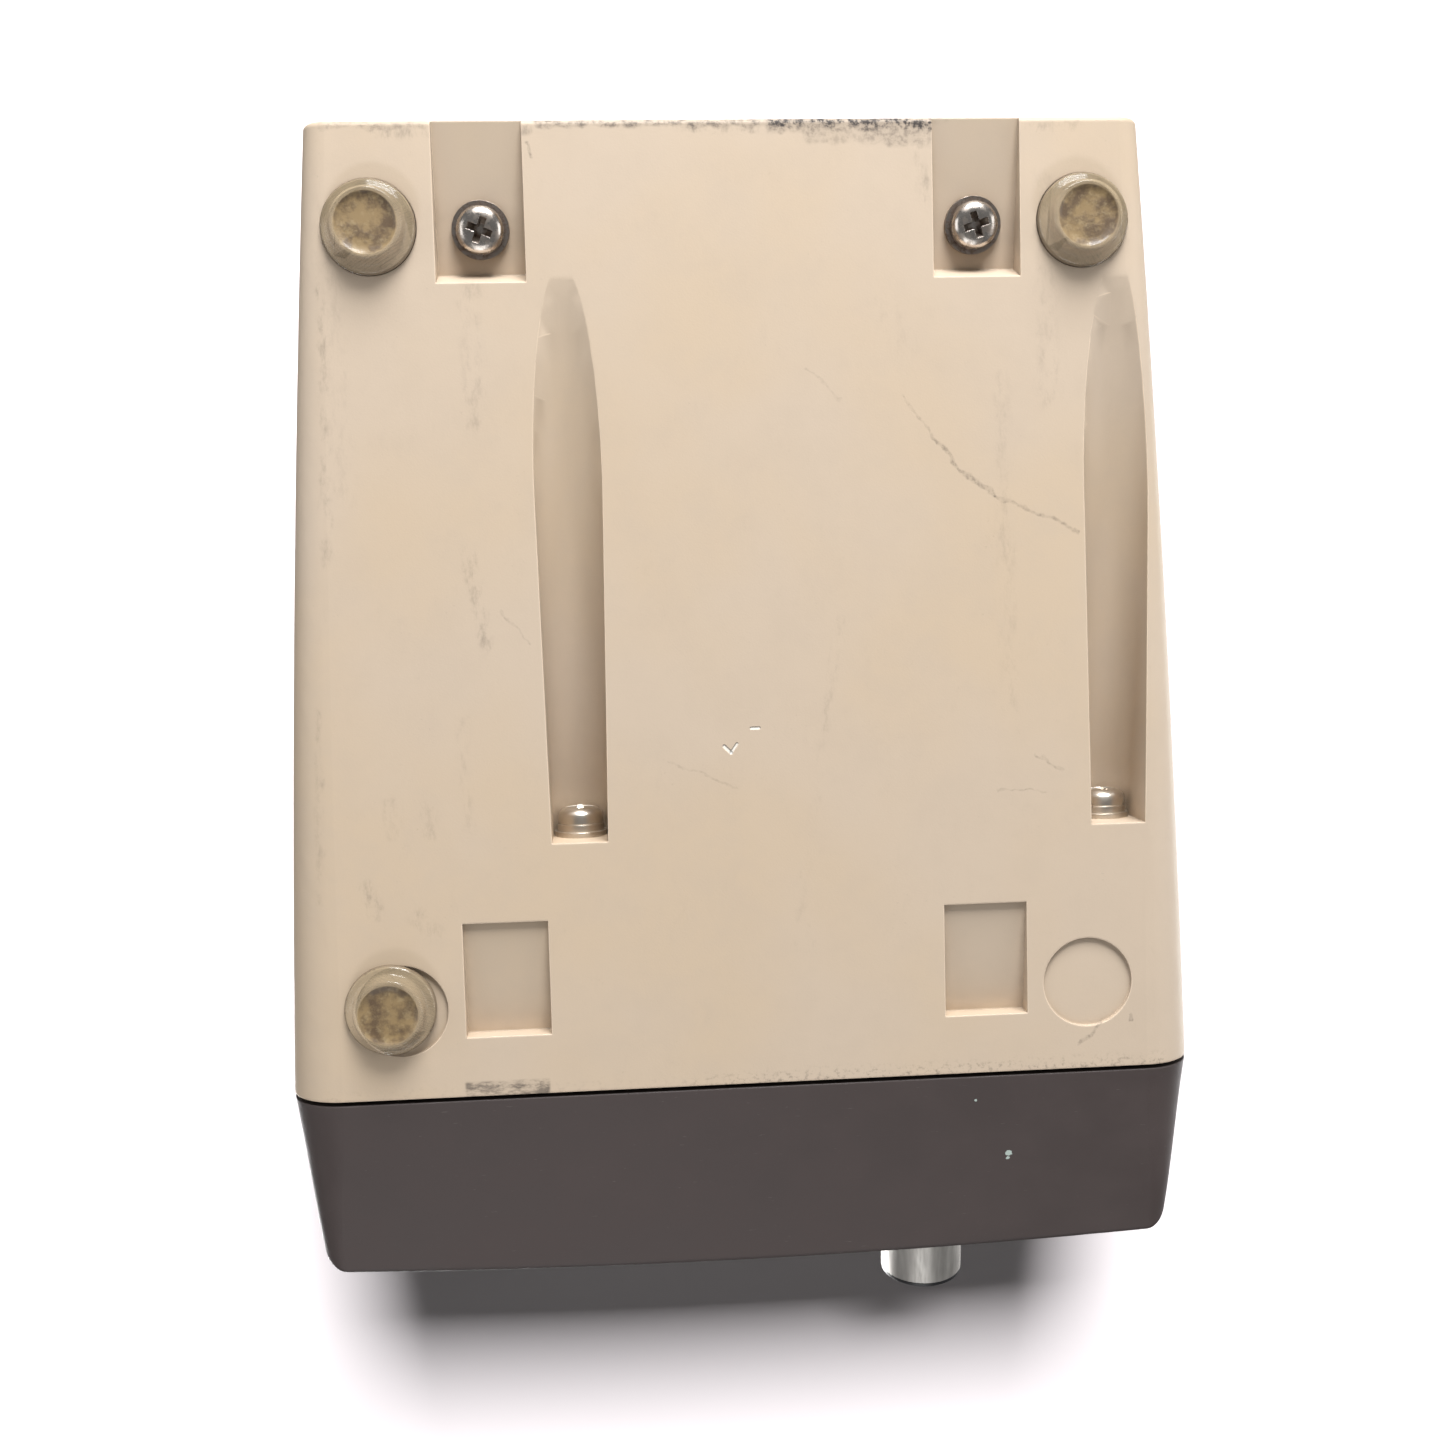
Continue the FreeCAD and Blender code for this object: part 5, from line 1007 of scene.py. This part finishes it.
class UNIT_OT_knob_line(bpy.types.Operator):
    """Lay the knob's pointer line on its end"""

    bl_idname = "control_unit.knob_line"
    bl_label = "Knob pointer line"

    def execute(self, context):
        sizes = context.scene.unit_sizes
        low, end = reach("knob_core", PANEL_OUT)
        centre = PANEL_ORIGIN + PANEL_OUT * (end - PANEL_ORIGIN.dot(PANEL_OUT))
        place = Matrix.Translation(centre) @ axes_along(PANEL_OUT)
        line = printed_bar("knob_line", 0.9 * MM, 4.6 * MM, sizes.print_height, 0.3 * MM)
        line.matrix_world = place @ Matrix.Translation((0.0, 3.6 * MM, -sizes.print_height * 0.5))
        settle(line, "knob_core", SLOT_OF_NODE["knob_core"], finish="print_white")
        return {"FINISHED"}


class UNIT_OT_display(bpy.types.Operator):
    """Lay the unlit segments of three digits on the display behind its window"""

    bl_idname = "control_unit.display"
    bl_label = "Display digits"

    def execute(self, context):
        sizes = context.scene.unit_sizes
        place = axes_along(PANEL_OUT)
        up = place.col[1].xyz
        surface = reach("display_module", PANEL_OUT)[1]
        across = middle("display_module").x
        height = sum(reach("display_module", up)) / 2
        origin = Matrix.Translation(PANEL_OUT * surface + up * height + Vector((across, 0.0, 0.0))) @ place
        # half a digit's height, its width between the upright bars, a bar's width, one digit to the next
        tall, wide, bar, pitch = 4.7 * MM, 4.5 * MM, 0.9 * MM, 11.0 * MM
        segment = printed_bar("segment", wide - bar * 0.5, bar, sizes.print_height * 2, bar * 0.48)
        pieces = []
        for digit in (-1, 0, 1):
            left = digit * pitch
            for row in (-1, 0, 1):
                pieces.append(again(segment, origin @ Matrix.Translation((left, row * tall, 0.0))))
            for row in (-0.5, 0.5):
                for column in (-0.5, 0.5):
                    spot = Matrix.Translation((left + column * (wide + bar), row * tall, 0.0))
                    pieces.append(again(segment, origin @ spot @ Matrix.Rotation(math.pi / 2, 4, "Z")))
        bpy.data.objects.remove(segment)
        digits = join_all(pieces)
        digits.name = "display_segments"
        settle(digits, "display_module", SLOT_OF_NODE["display_module"], finish="segment_red")
        return {"FINISHED"}


class UNIT_OT_studio(bpy.types.Operator):
    """Set up the pale table, the soft light and the camera"""

    bl_idname = "control_unit.studio"
    bl_label = "Table, light and camera"

    def execute(self, context):
        studio = context.scene.unit_studio
        low, high = CAD_BOX
        centre = (low + high) / 2

        # The unit lies upside down on a table at its top. A second table under its feet is for views
        # from above. Each is seen from its own side only, and throws no light or shade on the unit.
        tables = []
        for name, height, turn in (("table_above", high.z, math.pi), ("table_below", low.z, 0.0)):
            start_fresh()
            bpy.ops.mesh.primitive_plane_add(size=TABLE_SIZE, location=(centre.x, centre.y, height),
                                             rotation=(turn, 0.0, 0.0))
            table = context.object
            table.name = name
            table.data.materials.append(table_paint(tuple(studio.table)))
            for way in ("diffuse", "glossy", "transmission", "shadow", "volume_scatter"):
                setattr(table, "visible_" + way, False)
            tables.append(table)

        world = bpy.data.worlds.new("even_surround")
        world.use_nodes = True
        background = world.node_tree.nodes["Background"]
        background.inputs["Color"].default_value = (1.0, 1.0, 1.0, 1.0)
        seen = world.node_tree.nodes.new("ShaderNodeLightPath")
        strength = world.node_tree.nodes.new("ShaderNodeMapRange")
        strength.inputs["To Min"].default_value = studio.surround
        strength.inputs["To Max"].default_value = 1.0
        world.node_tree.links.new(seen.outputs["Is Camera Ray"], strength.inputs["Value"])
        world.node_tree.links.new(strength.outputs["Result"], background.inputs["Strength"])
        context.scene.world = world

        # The lights on the unit come in low, so that its edges stand out, and pass the tables by.
        # Each table has a steeper light of its own, which throws the unit's shadow on it.
        not_tables = bpy.data.collections.new("not_tables")
        only_tables = bpy.data.collections.new("only_tables")
        for table in tables:
            not_tables.objects.link(table)
            only_tables.objects.link(table)
        for member in not_tables.collection_objects:
            member.light_linking.link_state = "EXCLUDE"
        key, on_table = studio.key_power, studio.table_power
        for name, way, power, size, receivers in (
                ("key_below", (-0.10, 0.87, -0.46), key, studio.key_size, not_tables),
                ("side_below", (0.90, 0.05, -0.40), key * 0.12, FILL_SIZE, not_tables),
                ("far_side_below", (-0.92, 0.05, -0.34), key * 0.14, FILL_SIZE, not_tables),
                ("front_below", (0.10, -0.85, -0.55), key * 0.13, FILL_SIZE, not_tables),
                ("key_above", (0.40, -0.62, 0.68), key * 0.50, studio.key_size, not_tables),
                ("side_above", (-0.80, -0.10, 0.55), key * 0.24, FILL_SIZE, not_tables),
                ("rear_above", (0.15, 0.90, 0.42), key * 0.05, FILL_SIZE, not_tables),
                ("table_light_below", (0.0, 0.51, -0.86), on_table, 0.24, only_tables),
                ("table_light_above", (0.15, -0.25, 0.95), on_table, 0.40, only_tables)):
            light = bpy.data.lights.new(name, "AREA")
            light.energy = power
            light.size = size
            lamp = bpy.data.objects.new(name, light)
            direction = Vector(way).normalized()
            lamp.location = centre + direction * LIGHT_DISTANCE
            lamp.rotation_euler = (-direction).to_track_quat("-Z", "Y").to_euler()
            lamp.light_linking.receiver_collection = receivers
            context.scene.collection.objects.link(lamp)

        camera = bpy.data.objects.new("camera", bpy.data.cameras.new("camera"))
        camera.data.sensor_width = 36.0
        camera.data.lens = studio.lens
        camera.data.clip_start = 0.01
        camera.location = studio.camera_place
        camera.rotation_euler = Euler(studio.camera_turn, "XYZ")
        context.scene.collection.objects.link(camera)
        context.scene.camera = camera
        context.scene.view_settings.view_transform = "Standard"
        return {"FINISHED"}


def table_paint(shade):
    """Matt white that fades out all round, and is clear when seen from behind."""
    finish = Finish("table_white", Roughness=0.9)
    cloud = finish.rise(finish.noise(finish.place(), 180.0, 3.0), 0.3, 0.7)
    finish.drive("Base Color", finish.mix(shade, tuple(c * 0.985 for c in shade), cloud))
    behind = finish.node("ShaderNodeNewGeometry", {}, {}, "Backfacing")
    away = finish.vector("LENGTH", finish.place(), output="Value")
    hidden = behind.calculate("MAXIMUM", finish.rise(away, *TABLE_FADE))
    paint = Value(finish, finish.shader.outputs[0])
    clear = finish.node("ShaderNodeBsdfTransparent", {}, {})
    shown = finish.node("ShaderNodeMixShader", {}, [hidden, paint, clear])
    finish.tree.links.new(shown.socket, finish.tree.nodes["Material Output"].inputs["Surface"])
    return finish.material


class UNIT_PT_panel(bpy.types.Panel):
    """Lists the steps that finish the unit"""

    bl_label = "Control unit"
    bl_idname = "UNIT_PT_panel"
    bl_space_type = "VIEW_3D"
    bl_region_type = "UI"
    bl_category = "Control unit"

    def draw(self, context):
        for operator in OPERATORS:
            self.layout.operator(operator.bl_idname)


OPERATORS = (UNIT_OT_finishes, UNIT_OT_feet, UNIT_OT_screws, UNIT_OT_dial, UNIT_OT_knob_line, UNIT_OT_display,
             UNIT_OT_studio)
SETTINGS = {"unit_sizes": UnitSizes, "unit_colours": UnitColours, "unit_studio": StudioSettings}


def register():
    for part in (*SETTINGS.values(), *OPERATORS, UNIT_PT_panel):
        bpy.utils.register_class(part)
    for name, group in SETTINGS.items():
        setattr(bpy.types.Scene, name, PointerProperty(type=group))


def unregister():
    for name in SETTINGS:
        delattr(bpy.types.Scene, name)
    for part in (UNIT_PT_panel, *reversed(OPERATORS), *SETTINGS.values()):
        bpy.utils.unregister_class(part)


def main():
    register()
    for operator in OPERATORS:
        group, step = operator.bl_idname.split(".")
        getattr(getattr(bpy.ops, group), step)()


if __name__ == "__main__":
    main()
